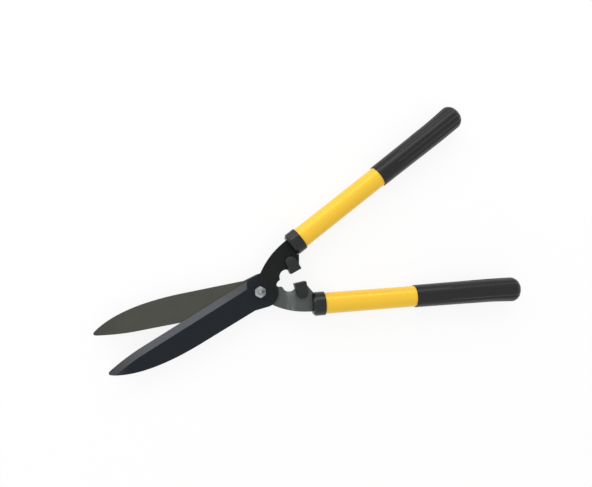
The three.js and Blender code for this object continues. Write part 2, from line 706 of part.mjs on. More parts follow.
// Materials
const finishes = {
  blackSteel: { color: '#2a2d31', roughness: 0.45, metalness: 0.6 },
  greySteel: { color: '#55564f', roughness: 0.5, metalness: 0.6 },
  zincSteel: { color: '#a9adad', roughness: 0.35, metalness: 0.9 },
  rubber: { color: '#2b3033', roughness: 0.8, metalness: 0 },
  blackPlastic: { color: '#2f3234', roughness: 0.55, metalness: 0 },
  whitePlastic: { color: '#d8dad6', roughness: 0.5, metalness: 0 },
  yellowPaint: { color: '#f4c338', roughness: 0.35, metalness: 0 },
  gripRubber: { color: '#333536', roughness: 0.6, metalness: 0 },
};

function named(name, solid, finish) {
  const mesh = new THREE.Mesh(geometryOf(solid), new THREE.MeshStandardMaterial(finishes[finish]));
  mesh.name = name;
  return mesh;
}

// One half: the stamping with its bumper, and the handle in its own turned group
function half(side, hole, gripMouth, steel) {
  const group = new THREE.Group();
  group.add(named(`${side}_blade`, stamping(hole), steel));
  group.add(named(`${side}_bumper`, bumper(), 'rubber'));

  const handle = new THREE.Group();
  handle.position.set(HANDLE_X, HANDLE_Y, 0);
  handle.rotation.z = HANDLE_TURN;
  handle.add(named(`${side}_ferrule`, ferrule(), 'blackPlastic'));
  handle.add(named(`${side}_tube`, tube(), 'yellowPaint'));
  handle.add(named(`${side}_tang_plug`, tangPlug(), 'blackPlastic'));
  handle.add(named(`${side}_tang_pin`, tangPin(), 'zincSteel'));
  handle.add(named(`${side}_tube_end_cap`, tubeEndCap(), 'blackPlastic'));
  handle.add(named(`${side}_grip`, grip(gripMouth), 'gripRubber'));
  group.add(handle);
  return group;
}

const shears = new THREE.Group();

const front = half('front', squareHole(), gripStart, 'blackSteel');
front.position.z = PIVOT_HEIGHT;
front.rotation.z = OPEN_TURN;
front.add(named('pivot_bolt', pivotBolt(), 'zincSteel'));
front.add(named('flat_washer', flatWasher(), 'zincSteel'));
front.add(named('wave_washer', waveWasher(), 'zincSteel'));
front.add(named('lock_nut', lockNut(), 'zincSteel'));
front.add(named('nut_insert', nutInsert(), 'whitePlastic'));
shears.add(front);

const rear = half('rear', roundHole(), gripStart - REAR_SLEEVE, 'greySteel');
rear.position.z = PIVOT_HEIGHT;
rear.rotation.set(Math.PI, 0, -OPEN_TURN, 'ZYX');
shears.add(rear);

export default shears;
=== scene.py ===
import json
import math

import bmesh
import bpy
from bpy.props import FloatProperty, FloatVectorProperty, IntProperty, PointerProperty
from mathutils import Matrix, Vector


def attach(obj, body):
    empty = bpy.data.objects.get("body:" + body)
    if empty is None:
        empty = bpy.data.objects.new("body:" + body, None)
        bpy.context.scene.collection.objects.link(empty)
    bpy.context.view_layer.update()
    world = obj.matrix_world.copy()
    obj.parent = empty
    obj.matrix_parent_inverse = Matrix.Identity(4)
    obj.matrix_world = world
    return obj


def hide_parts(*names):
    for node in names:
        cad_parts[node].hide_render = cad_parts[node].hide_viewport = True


bl_info = {
    "name": "Hedge shears",
    "version": (1, 0, 0),
    "blender": (4, 5, 0),
    "location": "3D View > Sidebar > Shears",
    "description": "Dresses the packed frame of a pair of hedge shears",
    "category": "Object",
}

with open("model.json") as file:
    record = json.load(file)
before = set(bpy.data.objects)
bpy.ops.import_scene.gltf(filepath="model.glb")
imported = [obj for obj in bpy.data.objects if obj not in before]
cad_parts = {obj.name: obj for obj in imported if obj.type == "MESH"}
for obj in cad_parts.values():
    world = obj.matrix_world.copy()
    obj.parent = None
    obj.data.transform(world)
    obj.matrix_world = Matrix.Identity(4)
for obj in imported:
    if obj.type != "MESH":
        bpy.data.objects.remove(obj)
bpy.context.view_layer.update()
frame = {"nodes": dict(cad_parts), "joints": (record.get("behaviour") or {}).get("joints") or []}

SIDES = ("front", "rear")

# The pivot, from the frame, and how the halves stand
PIVOT = Vector(frame["joints"][0]["pos_m"])
OPEN_TURN = math.radians(10.8)
CLOSED_TURN = math.radians(2.9)
HANDLE_TURN = math.radians(6.5)
HANDLE_AHEAD = Vector((math.cos(HANDLE_TURN), math.sin(HANDLE_TURN)))

# The gap that pieces run with, and one too narrow to show as a bright line
CLEARANCE = 0.0003
TIGHT = 0.00005

# How far a cutting shape goes past what it cuts, how near two points are one, and how near two sizes
OVERCUT = 0.002
MERGE = 1e-7
NEAR = 1e-6

# A stamping, in its half's own frame: blade to -X, handle to +X, cutting edge to +Y
HANDLE = Vector((0.0585, 0.02606))
BLADE_REACH = 0.190
THICKNESS = 0.0034
EDGE_OFFSET = 0.018
EDGE_CURVE_LENGTH = 0.046
EDGE_THICKNESS = 0.0005
EDGE_CONTROL_SHARE = 0.45
BEVEL_HEEL = 0.0065
BEVEL_HEEL_LEAN = 0.61
TIP_OFFSET = 0.0124
TIP_WIDTH = 0.0024
TIP_SKIPPED_POINTS = 2
SPINE_OFFSET = 0.0155
SPINE_CURVE_LENGTH = 0.105
SPINE_CURVE_RISE = 0.0012
SPINE_STRAIGHT_END = 0.016
SPINE_CONTROL_SHARES = ((0.17, 0.56), (0.48, 0.97))
HEEL_END = 0.012
NECK_CONTROL_SHARES = ((0.26, 0.49), (0.52, 0.82))
BOSS = Vector((0.0036, -0.0039))
BOSS_RADIUS = 0.0166
BITE_RADIUS = 0.00535
BITE_DEPTH = 0.0003
BITE_TURN = math.radians(-6.4)
SCALLOP = Vector((0.0352, -0.0015))
SCALLOP_RADIUS = 0.008
SCALLOP_END_TURN = math.radians(35)
CORNER_SHARE = 0.2
JOGGLE_SETBACK = 0.0242
JOGGLE_LENGTH = 0.005
JOGGLE_BEND = 0.0012
LUG_START = 0.0428
LUG_WIDTH = 0.010
FLANK = Vector((0.0555, 0.0021))
SHOULDER_INNER = 0.0136
NOSE_INNER = 0.0114
SHOULDER_OUTER = 0.0084
TONGUE_WIDTH = 0.010
TONGUE_LENGTH = 0.042
TANG_AHEAD = HANDLE.dot(HANDLE_AHEAD) - JOGGLE_SETBACK
BLADE_LOW = CLEARANCE / 2
BLADE_HIGH = BLADE_LOW + THICKNESS
TANG_HIGH = THICKNESS / 2

# Bumper
BUMPER_START = 0.0410
BUMPER_WIDTH = 0.0143
BUMPER_DEPTH = 0.019
BUMPER_HEIGHT = 0.013
BUMPER_FACE_RUBBER = 0.0036
BUMPER_FACE_ROUND = 0.0008
BUMPER_BACK_ROUND = 0.0062
BUMPER_FALL_START = 0.55 * BUMPER_DEPTH
BUMPER_TAPER = 0.0006
LUG_FACE = BUMPER_FACE_RUBBER - (LUG_START + LUG_WIDTH) * math.tan(CLOSED_TURN)

# Handle, along +X from the ferrule's front face
TUBE_RADIUS = 0.0125
TUBE_WALL = 0.0015
TUBE_START = 0.0033
FERRULE_RADIUS = 0.014
FERRULE_LENGTH = 0.0144
FERRULE_WALL = 0.003
GRIP_START = 0.1345
GRIP_MOUTHS = {"front": GRIP_START, "rear": GRIP_START - 0.0086}
GRIP_END = 0.2636
GRIP_BORE_END = 0.2546
TUBE_END = 0.252
GRIP_MOUTH_RADIUS = 0.0136
GRIP_LIP = 0.003
GRIP_GROWTH = 0.001
DOME_LENGTH = 0.011
FIRST_FLUTE = math.radians(4)
FLUTE_RAMP = 0.008
SWELL_LENGTH = 0.044
# What the grip's inner side draws in, as a share of what the outer side swells
INNER_DRAW_IN = 0.5

# Pivot hardware, up from the plane where the blades meet
BOLT_RADIUS = 0.004
HEX_FLAT = 0.006
HEX_CORNER = 0.0065
HEX_CONE = math.tan(math.radians(30))
HEX_CUT = 0.0016
HEAD_SEAT = BLADE_HIGH + CLEARANCE
HEAD_CORNER = math.radians(59)
# Up from the head's top, and in from its flats
HEAD_CROWN = ((0, 0), (0.00002, 0.0004), (0, 0.0012))
# Up from the dish's floor, and in from its edge
DISH_WALL = ((0.00012, 0.0007), (0, 0.0011), (0.00022, 0.0015), (0.0002, 0.0019), (-0.0001, 0.0023))
# Up from the dish's floor, and the radius
DISH_MIDDLE = ((-0.0001, 0.0012), (0.0001, 0.0008), (0.00012, 0))
WASHER_RADIUS = 0.008
WASHER_HIGH = -BLADE_HIGH - CLEARANCE
WASHER_LOW = WASHER_HIGH - 0.0016
WAVE_HIGH = WASHER_LOW - CLEARANCE
WAVE_THICKNESS = 0.0005
WAVE_HEIGHT = 0.00035
WAVE_COUNT = 3
NUT_HIGH = WAVE_HIGH - WAVE_THICKNESS - 2 * WAVE_HEIGHT - CLEARANCE
COLLAR_HIGH = NUT_HIGH - 0.0063
NUT_LOW = COLLAR_HIGH - 0.0017
COLLAR_RADIUS = 0.0059
INSERT_RADIUS = 0.0052
INSERT_HEIGHT = 0.002
BOLT_LOW = -PIVOT.z
THREAD_PITCH = 0.00125
THREAD_DEPTH = 0.0005
THREAD_RUN_OUT = 0.0004
# How much of the thread's depth the bolt's very end is turned down by
THREAD_END_SHARE = 0.8

# Facets: round the handle, the hardware and a bumper's corner, along a curve, over a rolled edge
ROUND_STEPS = 120
HARDWARE_STEPS = 96
BUMPER_STEPS = 10
CURVE_STEPS = 28
ROLL_STEPS = 3
SHARP_ANGLE = math.radians(32)

# Spacing of the outline's points, and how far past the heel the ground edge has its first one
SPINE_SPACING = 0.008
HEEL_SPACING = 0.003
EDGE_SPACING = 0.004
GROUND_STEP = 0.0004

# Rings and cuts along the tube, the grip's wall and dome, the thread, the joggle and the bumper's back
TUBE_RINGS = 24
WALL_RINGS = 72
DOME_RINGS = 14
THREAD_RINGS = 72
JOGGLE_CUTS = 12
BUMPER_CUTS = 8

# The camera, with the picture's right side and the way back to the camera
CAMERA_PLACE = Vector((-0.054088, 0.07617, 0.707543))
CAMERA_BACK = Vector((-0.16218, 0.05595, 0.98517)).normalized()
CAMERA_RIGHT = Vector((0.92109, -0.34956, 0.17148))
CAMERA_RIGHT = (CAMERA_RIGHT - CAMERA_BACK * CAMERA_RIGHT.dot(CAMERA_BACK)).normalized()
CAMERA_UP = CAMERA_BACK.cross(CAMERA_RIGHT)
CAMERA_LENS = 36.486
CAMERA_SENSOR = 36.0

# Lights: size, distance from the pivot, and degrees round the view and up from the picture's plane
LIGHTS = {
    "strip_light": ((2.4, 0.6), 1.4, 97, 36),
    "side_light": ((1.6, 0.35), 1.2, 142, 10),
}
FLOOR_REACH = 3.0


def linear(red, green, blue):
    """A colour written from 0 to 255 as Blender's own linear numbers."""
    parts = (part / 255 for part in (red, green, blue))
    return tuple(p / 12.92 if p <= 0.04045 else ((p + 0.055) / 1.055) ** 2.4 for p in parts)


# Colours of wear, dirt, painted shade and highlight, and hidden pieces
WORN_STEEL = linear(120, 122, 124)
TANG_COAT = linear(23, 26, 25)
DULL_BEVEL = linear(62, 63, 64)
DULL_TIP = linear(58, 59, 58)
# Painted highlight at the rear tang's joggle, and the scrapes in it
HIGHLIGHT_AND_SCRAPES = linear(138, 143, 141)
SCUFFED_PLASTIC = linear(96, 100, 99)
# Painted shade on the ferrule's lip where the tube goes in
LIP_SHADE = linear(8, 8, 7)
DUST = linear(150, 120, 60)
# Tarnish, and also the painted shade in the bolt head's dish and on one side of the head
TARNISH_AND_SHADE = linear(84, 87, 88)
CORE_BLACK = linear(38, 38, 38)

# On plated pieces: radians of turning marks per metre, the edges of the painted shade ring in the head's
# dish, and across the bolt the way to its side darkened with painted shade, towards the opening between the
# handles
TURNING_MARKS = 5200
DISH_SHADE_RING = ((0.0014, 0.0020), (0.0030, 0.0036))
SHADED_SIDE = (-0.52, -0.85)


def colour(name, description, *shade):
    return FloatVectorProperty(
        name=name, description=description, subtype="COLOR", size=3, min=0, max=1, default=linear(*shade)
    )


def length(name, description, default):
    return FloatProperty(
        name=name, description=description, unit="LENGTH", min=0, precision=5, default=default
    )


def share(name, description, default):
    return FloatProperty(
        name=name, description=description, subtype="FACTOR", min=0, max=1, default=default
    )


def watts(name, description, default):
    return FloatProperty(name=name, description=description, unit="POWER", min=0, default=default)


class BladeSettings(bpy.types.PropertyGroup):
    edge_roll: length("Edge roll", "Radius of the stampings' rolled edges", 0.0003)
    bevel_width: length("Bevel width", "Width of the ground cutting bevel", 0.0077)
    coat: colour("Coat", "Baked coating of the front stamping", 27, 32, 38)
    bevel: colour("Bevel", "Ground bevels of both blades", 83, 85, 90)
    ground: colour("Ground face", "Oiled ground face of the rear stamping", 73, 73, 67)
    tang: colour("Rear tang", "The rear stamping beyond its joggle", 80, 84, 82)


class BumperSettings(bpy.types.PropertyGroup):
    edge_round: length("Edge round", "Radius of the moulded edges", 0.0009)
    back_drop: length("Back drop", "How much the top falls away to the back", 0.0022)
    rubber: colour("Rubber", "Moulded rubber", 22, 27, 26)


class HandleSettings(bpy.types.PropertyGroup):
    nose_drop: length("Nose drop", "How much the ferrule's nose narrows", 0.0026)
    nose_length: length("Nose length", "Length of the ferrule's narrowing nose", 0.0027)
    rim_round: length("Rim round", "Radius of the ferrule's rear rim", 0.0007)
    collar: colour("Ferrule", "Moulded plastic of the ferrules", 17, 21, 20)
    enamel: colour("Enamel", "Paint on the tubes", 241, 189, 50)


class GripSettings(bpy.types.PropertyGroup):
    flutes: IntProperty(name="Flutes", description="Flutes round a grip", default=10, min=0, max=24)
    flute_depth: length("Flute depth", "Depth of a flute", 0.00065)
    flute_start: length("Flute start", "From the grip's mouth to the first flutes", 0.020)
    flute_lag: length("Flute lag", "How much later the flutes at the sides start", 0.038)
    swell: length("Swell", "How much the far end swells to the outer side", 0.0015)
    vinyl: colour("Vinyl", "Soft moulded grip", 13, 14, 15)


class HardwareSettings(bpy.types.PropertyGroup):
    head_height: length("Head height", "Height of the bolt's head", 0.0053)
    dish_radius: length("Dish radius", "Radius of the dish in the bolt's head", 0.0039)
    dish_depth: length("Dish depth", "Depth of the dish in the bolt's head", 0.0006)
    zinc: colour("Zinc", "Plated bolt, nut and washer", 163, 168, 169)
    spring: colour("Spring steel", "Wave washer", 128, 128, 130)
    nylon: colour("Nylon", "The nut's insert", 214, 216, 210)


class StageSettings(bpy.types.PropertyGroup):
    floor: colour("Floor", "Plain floor under the shears", 249, 249, 249)
    floor_white: share("Floor white", "How far the seen floor fades to plain white", 0.85)
    ambient: share("Ambient", "Light from all round", 0.86)
    strip: watts("Strip light", "Long soft light from above the picture", 8.5)
    side: watts("Side light", "Low soft light from the left", 4.5)


class ShearsSettings(bpy.types.PropertyGroup):
    blade: PointerProperty(type=BladeSettings, name="Blades", description="Stampings")
    bumper: PointerProperty(type=BumperSettings, name="Bumpers", description="Rubber stops")
    handle: PointerProperty(type=HandleSettings, name="Handles", description="Ferrules and tubes")
    grip: PointerProperty(type=GripSettings, name="Grips", description="Soft grips")
    hardware: PointerProperty(type=HardwareSettings, name="Hardware", description="Pivot hardware")
    stage: PointerProperty(type=StageSettings, name="Stage", description="Floor and lights")


# Finishes


class Term:
    """A number that varies over a surface. Each sum on it adds a Math node."""

    def __init__(self, nodes, socket):
        self.nodes = nodes
        self.socket = socket

    def _maths(self, operation, *terms):
        node = self.nodes.node("ShaderNodeMath", {"operation": operation}, dict(enumerate(terms)))
        return Term(self.nodes, node.outputs[0])

    def __add__(self, other):
        return self._maths("ADD", self, other)

    def __radd__(self, other):
        return self._maths("ADD", other, self)

    def __sub__(self, other):
        return self._maths("SUBTRACT", self, other)

    def __rsub__(self, other):
        return self._maths("SUBTRACT", other, self)

    def __mul__(self, other):
        return self._maths("MULTIPLY", self, other)

    def __rmul__(self, other):
        return self._maths("MULTIPLY", other, self)

    def __pow__(self, other):
        return self._maths("POWER", self, other)

    def between(self, low, high):
        """0 below low, 1 above high, and smooth in between."""
        node = self.nodes.node(
            "ShaderNodeMapRange",
            {"interpolation_type": "SMOOTHSTEP"},
            {"Value": self, "From Min": low, "From Max": high},
        )
        return Term(self.nodes, node.outputs[0])

    def wave(self):
        """A sine of this term, from 0 to 1."""
        return 0.5 + 0.5 * self._maths("SINE", self)

    def larger(self, other):
        return self._maths("MAXIMUM", self, other)


class Nodes:
    """The nodes of a material or of the world."""

    def __init__(self, owner):
        owner.use_nodes = True
        self.tree = owner.node_tree
        self.tree.nodes.clear()

    def node(self, kind, settings=None, inputs=None):
        """A node of any kind: its settings first, then the values or links of its sockets."""
        node = self.tree.nodes.new(kind)
        for name, value in (settings or {}).items():
            setattr(node, name, value)
        for key, value in (inputs or {}).items():
            self.feed(node.inputs[key], value)
        return node

    def feed(self, socket, value):
        if isinstance(value, Term):
            self.tree.links.new(value.socket, socket)
        elif isinstance(value, bpy.types.NodeSocket):
            self.tree.links.new(value, socket)
        elif socket.type == "RGBA" and len(value) == 3:
            socket.default_value = (*value, 1)
        else:
            socket.default_value = value

    def seen_directly(self):
        """1 for a ray from the camera, a mirror or glass, and 0 for the light that falls on things."""
        path = self.node("ShaderNodeLightPath")
        rays = ("Is Camera Ray", "Is Glossy Ray", "Is Transmission Ray")
        camera, mirror, glass = (Term(self, path.outputs[ray]) for ray in rays)
        return camera.larger(mirror).larger(glass)

    def close_mixed(self, factor, first, second, kind):
        """Ends in two shaders: the second takes over as the factor goes from 0 to 1."""
        mix = self.node("ShaderNodeMixShader", {}, {0: factor, 1: first.outputs[0], 2: second.outputs[0]})
        self.node(kind, {}, {"Surface": mix.outputs[0]})


class Finish(Nodes):
    """One procedural material, painted in the piece's own frame."""

    def __init__(self, name):
        self.material = bpy.data.materials.new(name)
        super().__init__(self.material)
        self.spot = self.node("ShaderNodeTexCoord").outputs["Object"]
        apart = self.node("ShaderNodeSeparateXYZ", {}, {0: self.spot})
        self.x, self.y, self.z = (Term(self, apart.outputs[i]) for i in range(3))

    def clouds(self, size, stretch=(1, 1, 1), detail=2.0, seed=0.0):
        """A cloudy number about a half, in clouds of that size, stretched along each axis."""
        spread = [1 / (size * along) for along in stretch]
        place = self.node(
            "ShaderNodeVectorMath", {"operation": "MULTIPLY"}, {0: self.spot, 1: spread}
        )
        cloud = self.node(
            "ShaderNodeTexNoise",
            {"noise_dimensions": "4D"},
            {"Vector": place.outputs[0], "W": seed, "Scale": 1.0, "Detail": detail},
        )
        return Term(self, cloud.outputs[0])

    def mixed(self, factor, first, second):
        """One colour that goes to another as the factor goes from 0 to 1."""
        node = self.node(
            "ShaderNodeMix",
            {"data_type": "RGBA", "clamp_factor": True},
            {"Factor": factor, 6: first, 7: second},
        )
        return node.outputs[2]

    def shaded(self, tint, amount, value):
        """A colour made darker and lighter by that share as the value goes from 0 to 1."""
        dark = tuple(part * (1 - amount) for part in tint)
        light = tuple(min(part * (1 + amount), 1) for part in tint)
        return self.mixed(value, dark, light)

    def close(self, base, rough, metal=0.0, relief=None, depth=0.0, **constants):
        """Ends the material with its shader: relief is the height of its bump, depth in metres."""
        shader = self.node("ShaderNodeBsdfPrincipled")
        self.feed(shader.inputs["Base Color"], base)
        self.feed(shader.inputs["Roughness"], rough)
        self.feed(shader.inputs["Metallic"], metal)
        for name, value in constants.items():
            self.feed(shader.inputs[name.replace("_", " ")], value)
        if relief is not None:
            bump = self.node("ShaderNodeBump", {}, {"Height": relief, "Distance": depth})
            self.feed(shader.inputs["Normal"], bump.outputs[0])
        self.node("ShaderNodeOutputMaterial", {}, {"Surface": shader.outputs[0]})
        return self.material


def baked_coat(name, tint, wear_and_side_shade):
    """Baked black coating: fine grit, faint mottling, and steel that shows through where the coat is rubbed
    off.
    """
    finish = Finish(name)
    mottle = finish.clouds(0.012, detail=3.0)
    grit = finish.clouds(0.0004, detail=2.0, seed=3.0)
    patches = finish.clouds(0.0035, (2.2, 1, 1), detail=4.0, seed=7.0)
    rubbed = patches.between(0.74 - 0.16 * wear_and_side_shade, 0.86 - 0.08 * wear_and_side_shade)
    scratches = finish.clouds(0.00045, (34, 1, 1), detail=1.0, seed=11.0).between(0.66, 0.74)
    tang = finish.x.between(-0.004, 0.016)
    coat = finish.mixed(tang, finish.shaded(tint, 0.1, mottle), TANG_COAT)
    tip = 1 - finish.x.between(-BLADE_REACH + 0.002, -BLADE_REACH + 0.024)
    bare = rubbed * (0.08 + 0.3 * wear_and_side_shade) + scratches * 0.07 + tip * (0.08 + 0.12 * mottle)
    base = finish.mixed(bare, coat, WORN_STEEL)
    rough = 0.42 + 0.12 * mottle + 0.08 * grit - 0.08 * scratches
    return finish.close(base, rough, rubbed * (0.5 * wear_and_side_shade), grit, 0.00002, Specular_IOR_Level=0.12)


def ground_bevel(name, tint):
    """Ground steel: fine lines across the edge and a grainy sheen, duller at the heel and the tip."""
    finish = Finish(name)
    lines = finish.clouds(0.00018, (1, 60, 1))
    bands = finish.clouds(0.004, (1, 8, 1), seed=5.0)
    grains = finish.clouds(0.0009, (1.5, 1, 1), detail=3.0, seed=12.0)
    tip = 1 - finish.x.between(-BLADE_REACH, -0.7 * BLADE_REACH)
    ends = tip + 0.7 * finish.x.between(-0.3 * BLADE_REACH, 0)
    even = finish.shaded(tint, 0.16, 0.3 * lines + 0.3 * bands + 0.4 * grains)
    dull = finish.shaded(DULL_BEVEL, 0.16, 0.3 * bands + 0.7 * grains)
    base = finish.mixed(ends, even, dull)
    rough = 0.42 + 0.12 * lines
    return finish.close(base, rough, 0.2, lines, 0.000012, Specular_IOR_Level=0.2)


def ground_face(name, tint, tang_tint):
    """Oiled ground steel: lines along the blade, cloudy stains, a paler tang, and a painted highlight with
    scrapes at the joggle.
    """
    finish = Finish(name)
    lines = finish.clouds(0.0003, (40, 1, 1))
    stains = finish.clouds(0.014, (1.6, 1, 1), detail=4.0, seed=2.0)
    beyond = finish.x.between(0.006, 0.016)
    along = finish.x * HANDLE_AHEAD.x + finish.y * HANDLE_AHEAD.y - TANG_AHEAD
    # Painted highlight: a pale band across the tang at its joggle, fainter towards its outer side.
    joggle_highlight = (along + JOGGLE_LENGTH).between(-0.003, 0.001) - along.between(0.0005, 0.006)
    scraped = finish.clouds(0.0011, (1, 9, 1), detail=3.0, seed=6.0).between(0.42, 0.62)
    tip = 1 - finish.x.between(-BLADE_REACH, -0.8 * BLADE_REACH)
    clean = finish.shaded(tint, 0.16, 0.3 * lines + 0.7 * stains)
    blade = finish.mixed(tip * (0.25 + 0.5 * stains), clean, DULL_TIP)
    tang = finish.shaded(tang_tint, 0.07, stains)
    inner = 1 - 0.65 * finish.y.between(0.004, 0.014)
    # The tang with the painted highlight at its joggle, stronger where it is scraped.
    rubbed = finish.mixed(joggle_highlight * inner * (0.25 + 0.75 * scraped), tang, HIGHLIGHT_AND_SCRAPES)
    base = finish.mixed(beyond, blade, rubbed)
    rough = 0.46 + 0.14 * stains
    return finish.close(base, rough, 0.2, lines, 0.000012, Specular_IOR_Level=0.2)


def moulded(name, tint, grain, depth, rough, level=0.2):
    """Moulded plastic or rubber: an even fine grain and a faint cloudiness."""
    finish = Finish(name)
    cloud = finish.clouds(0.009, detail=3.0)
    fine = finish.clouds(grain, detail=3.0, seed=4.0)
    base = finish.shaded(tint, 0.1, 0.7 * cloud + 0.3 * fine)
    return finish.close(base, rough + 0.1 * cloud, 0.0, fine, depth, Specular_IOR_Level=level)


def ferrule_plastic(name, tint):
    """Smooth moulded plastic, scuffed in places, with painted shade darkening the lip where the tube goes
    in.
    """
    finish = Finish(name)
    cloud = finish.clouds(0.007, detail=3.0)
    fine = finish.clouds(0.0004, detail=3.0, seed=4.0)
    scuffed = finish.clouds(0.0016, (1, 2.5, 2.5), detail=4.0, seed=2.0).between(0.6, 0.72)
    # Painted shade: the last part of the ferrule, where the tube goes in, is made darker.
    lip = finish.x.between(FERRULE_LENGTH - 0.0026, FERRULE_LENGTH - 0.0018)
    body = finish.mixed(scuffed * 0.12, finish.shaded(tint, 0.1, cloud), SCUFFED_PLASTIC)
    base = finish.mixed(lip, body, LIP_SHADE)
    rough = 0.2 + 0.08 * cloud + 0.12 * scuffed
    return finish.close(base, rough, 0.0, fine, 0.000008, Specular_IOR_Level=0.36)


def enamel(name, tint):
    """Enamel on steel tube: a faint orange peel, a slightly uneven coat and a soft gloss."""
    finish = Finish(name)
    peel = finish.clouds(0.0011, detail=1.5)
    film = finish.clouds(0.018, (2.5, 1, 1), detail=3.0, seed=6.0)
    dust = finish.clouds(0.0006, detail=3.0, seed=9.0).between(0.68, 0.76)
    coat = finish.shaded(tint, 0.035, film)
    base = finish.mixed(dust * 0.05, coat, DUST)
    rough = 0.22 + 0.08 * film
    gloss = (0.7, 1, 0.4, 1)
    return finish.close(base, rough, 0.0, peel, 0.00001, Specular_IOR_Level=0.75, Specular_Tint=gloss)


def plated(name, tint, rough=0.3, wear_and_side_shade=0.0):
    """Zinc plate: turning marks round the axis, painted shade in a ring in the head's dish and on one side,
    dull patches and tarnish.
    """
    finish = Finish(name)
    patches = finish.clouds(0.0022, detail=4.0)
    tarnish = finish.clouds(0.0045, detail=2.0, seed=3.0).between(0.46, 0.62)
    reach = (finish.y * finish.y + finish.z * finish.z) ** 0.5
    rings = (reach * TURNING_MARKS).wave()
    bright = finish.shaded(tint, 0.16, 0.5 * patches + 0.5 * rings)
    # A ring of painted shade in the dish of the bolt's head.
    inner, outer = DISH_SHADE_RING
    painted_dish_shade = reach.between(*inner) - reach.between(*outer)
    # Painted shade: the head grows darker across the bolt towards one side, as by the fall of light.
    painted_side_shade = (finish.y * SHADED_SIDE[0] + finish.z * SHADED_SIDE[1]).between(0.0008, 0.0040)
    base = finish.mixed(tarnish * 0.35 + painted_dish_shade * 0.4 + painted_side_shade * wear_and_side_shade, bright, TARNISH_AND_SHADE)
    return finish.close(base, rough + 0.2 * patches, 0.8, rings, 0.00001)


def grip_vinyl(name, tint):
    """Soft vinyl: a leathery fine grain, satin, and smoother in patches from handling."""
    finish = Finish(name)
    grain = finish.clouds(0.00045, detail=3.0)
    handled = finish.clouds(0.02, (2, 1, 1), detail=3.0, seed=8.0)
    base = finish.shaded(tint, 0.1, 0.5 * handled + 0.5 * grain)
    rough = 0.22 + 0.12 * handled
    return finish.close(base, rough, 0.0, grain, 0.00002, Specular_IOR_Level=0.33)


# Shapes


def arc(middle, radius, start, sweep, steps):
    """Points of an arc. A negative sweep goes clockwise."""
    turns = [start + sweep * i / steps for i in range(steps + 1)]
    return [middle + radius * Vector((math.cos(turn), math.sin(turn))) for turn in turns]


def curve(controls, steps):
    """Points of a Bezier curve through its first and last control points."""
    points = []
    for i in range(steps + 1):
        row = [Vector(point) for point in controls]
        while len(row) > 1:
            row = [a.lerp(b, i / steps) for a, b in zip(row, row[1:])]
        points.append(row[0])
    return points


def straight(start, end, spacing):
    """Points along a line, about that far apart."""
    steps = max(1, round((end - start).length / spacing))
    return [start.lerp(end, i / steps) for i in range(steps + 1)]


def turn_to(start, end):
    return math.atan2(end.y - start.y, end.x - start.x)


def circles_meet(first, first_radius, second, second_radius):
    """Where two circles meet: left and right of the line from the first middle to the second."""
    between = second - first
    span = between.length
    along = (span**2 + first_radius**2 - second_radius**2) / (2 * span)
    aside = math.sqrt(max(first_radius**2 - along**2, 0))
    ahead = between / span
    left = Vector((-ahead.y, ahead.x))
    return first + ahead * along + left * aside, first + ahead * along - left * aside


def on_handle(along, across):
    """A point of the handle's own frame, in its half's frame."""
    return HANDLE + Matrix.Rotation(HANDLE_TURN, 2) @ Vector((along, across))


def inner_shoulder():
    """Where the tang's inner side turns in to follow the ferrule's nose."""
    return on_handle(SHOULDER_INNER - NOSE_INNER - CLEARANCE, -SHOULDER_INNER)


def cutting_edge(steps):
    """The curved end of the cutting edge, from the straight part to the tip."""
    start = Vector((EDGE_CURVE_LENGTH - BLADE_REACH, EDGE_OFFSET))
    control = start - Vector((EDGE_CONTROL_SHARE * EDGE_CURVE_LENGTH, 0))
    tip = Vector((-BLADE_REACH, TIP_OFFSET + TIP_WIDTH / 2))
    return curve((start, control, tip), steps)


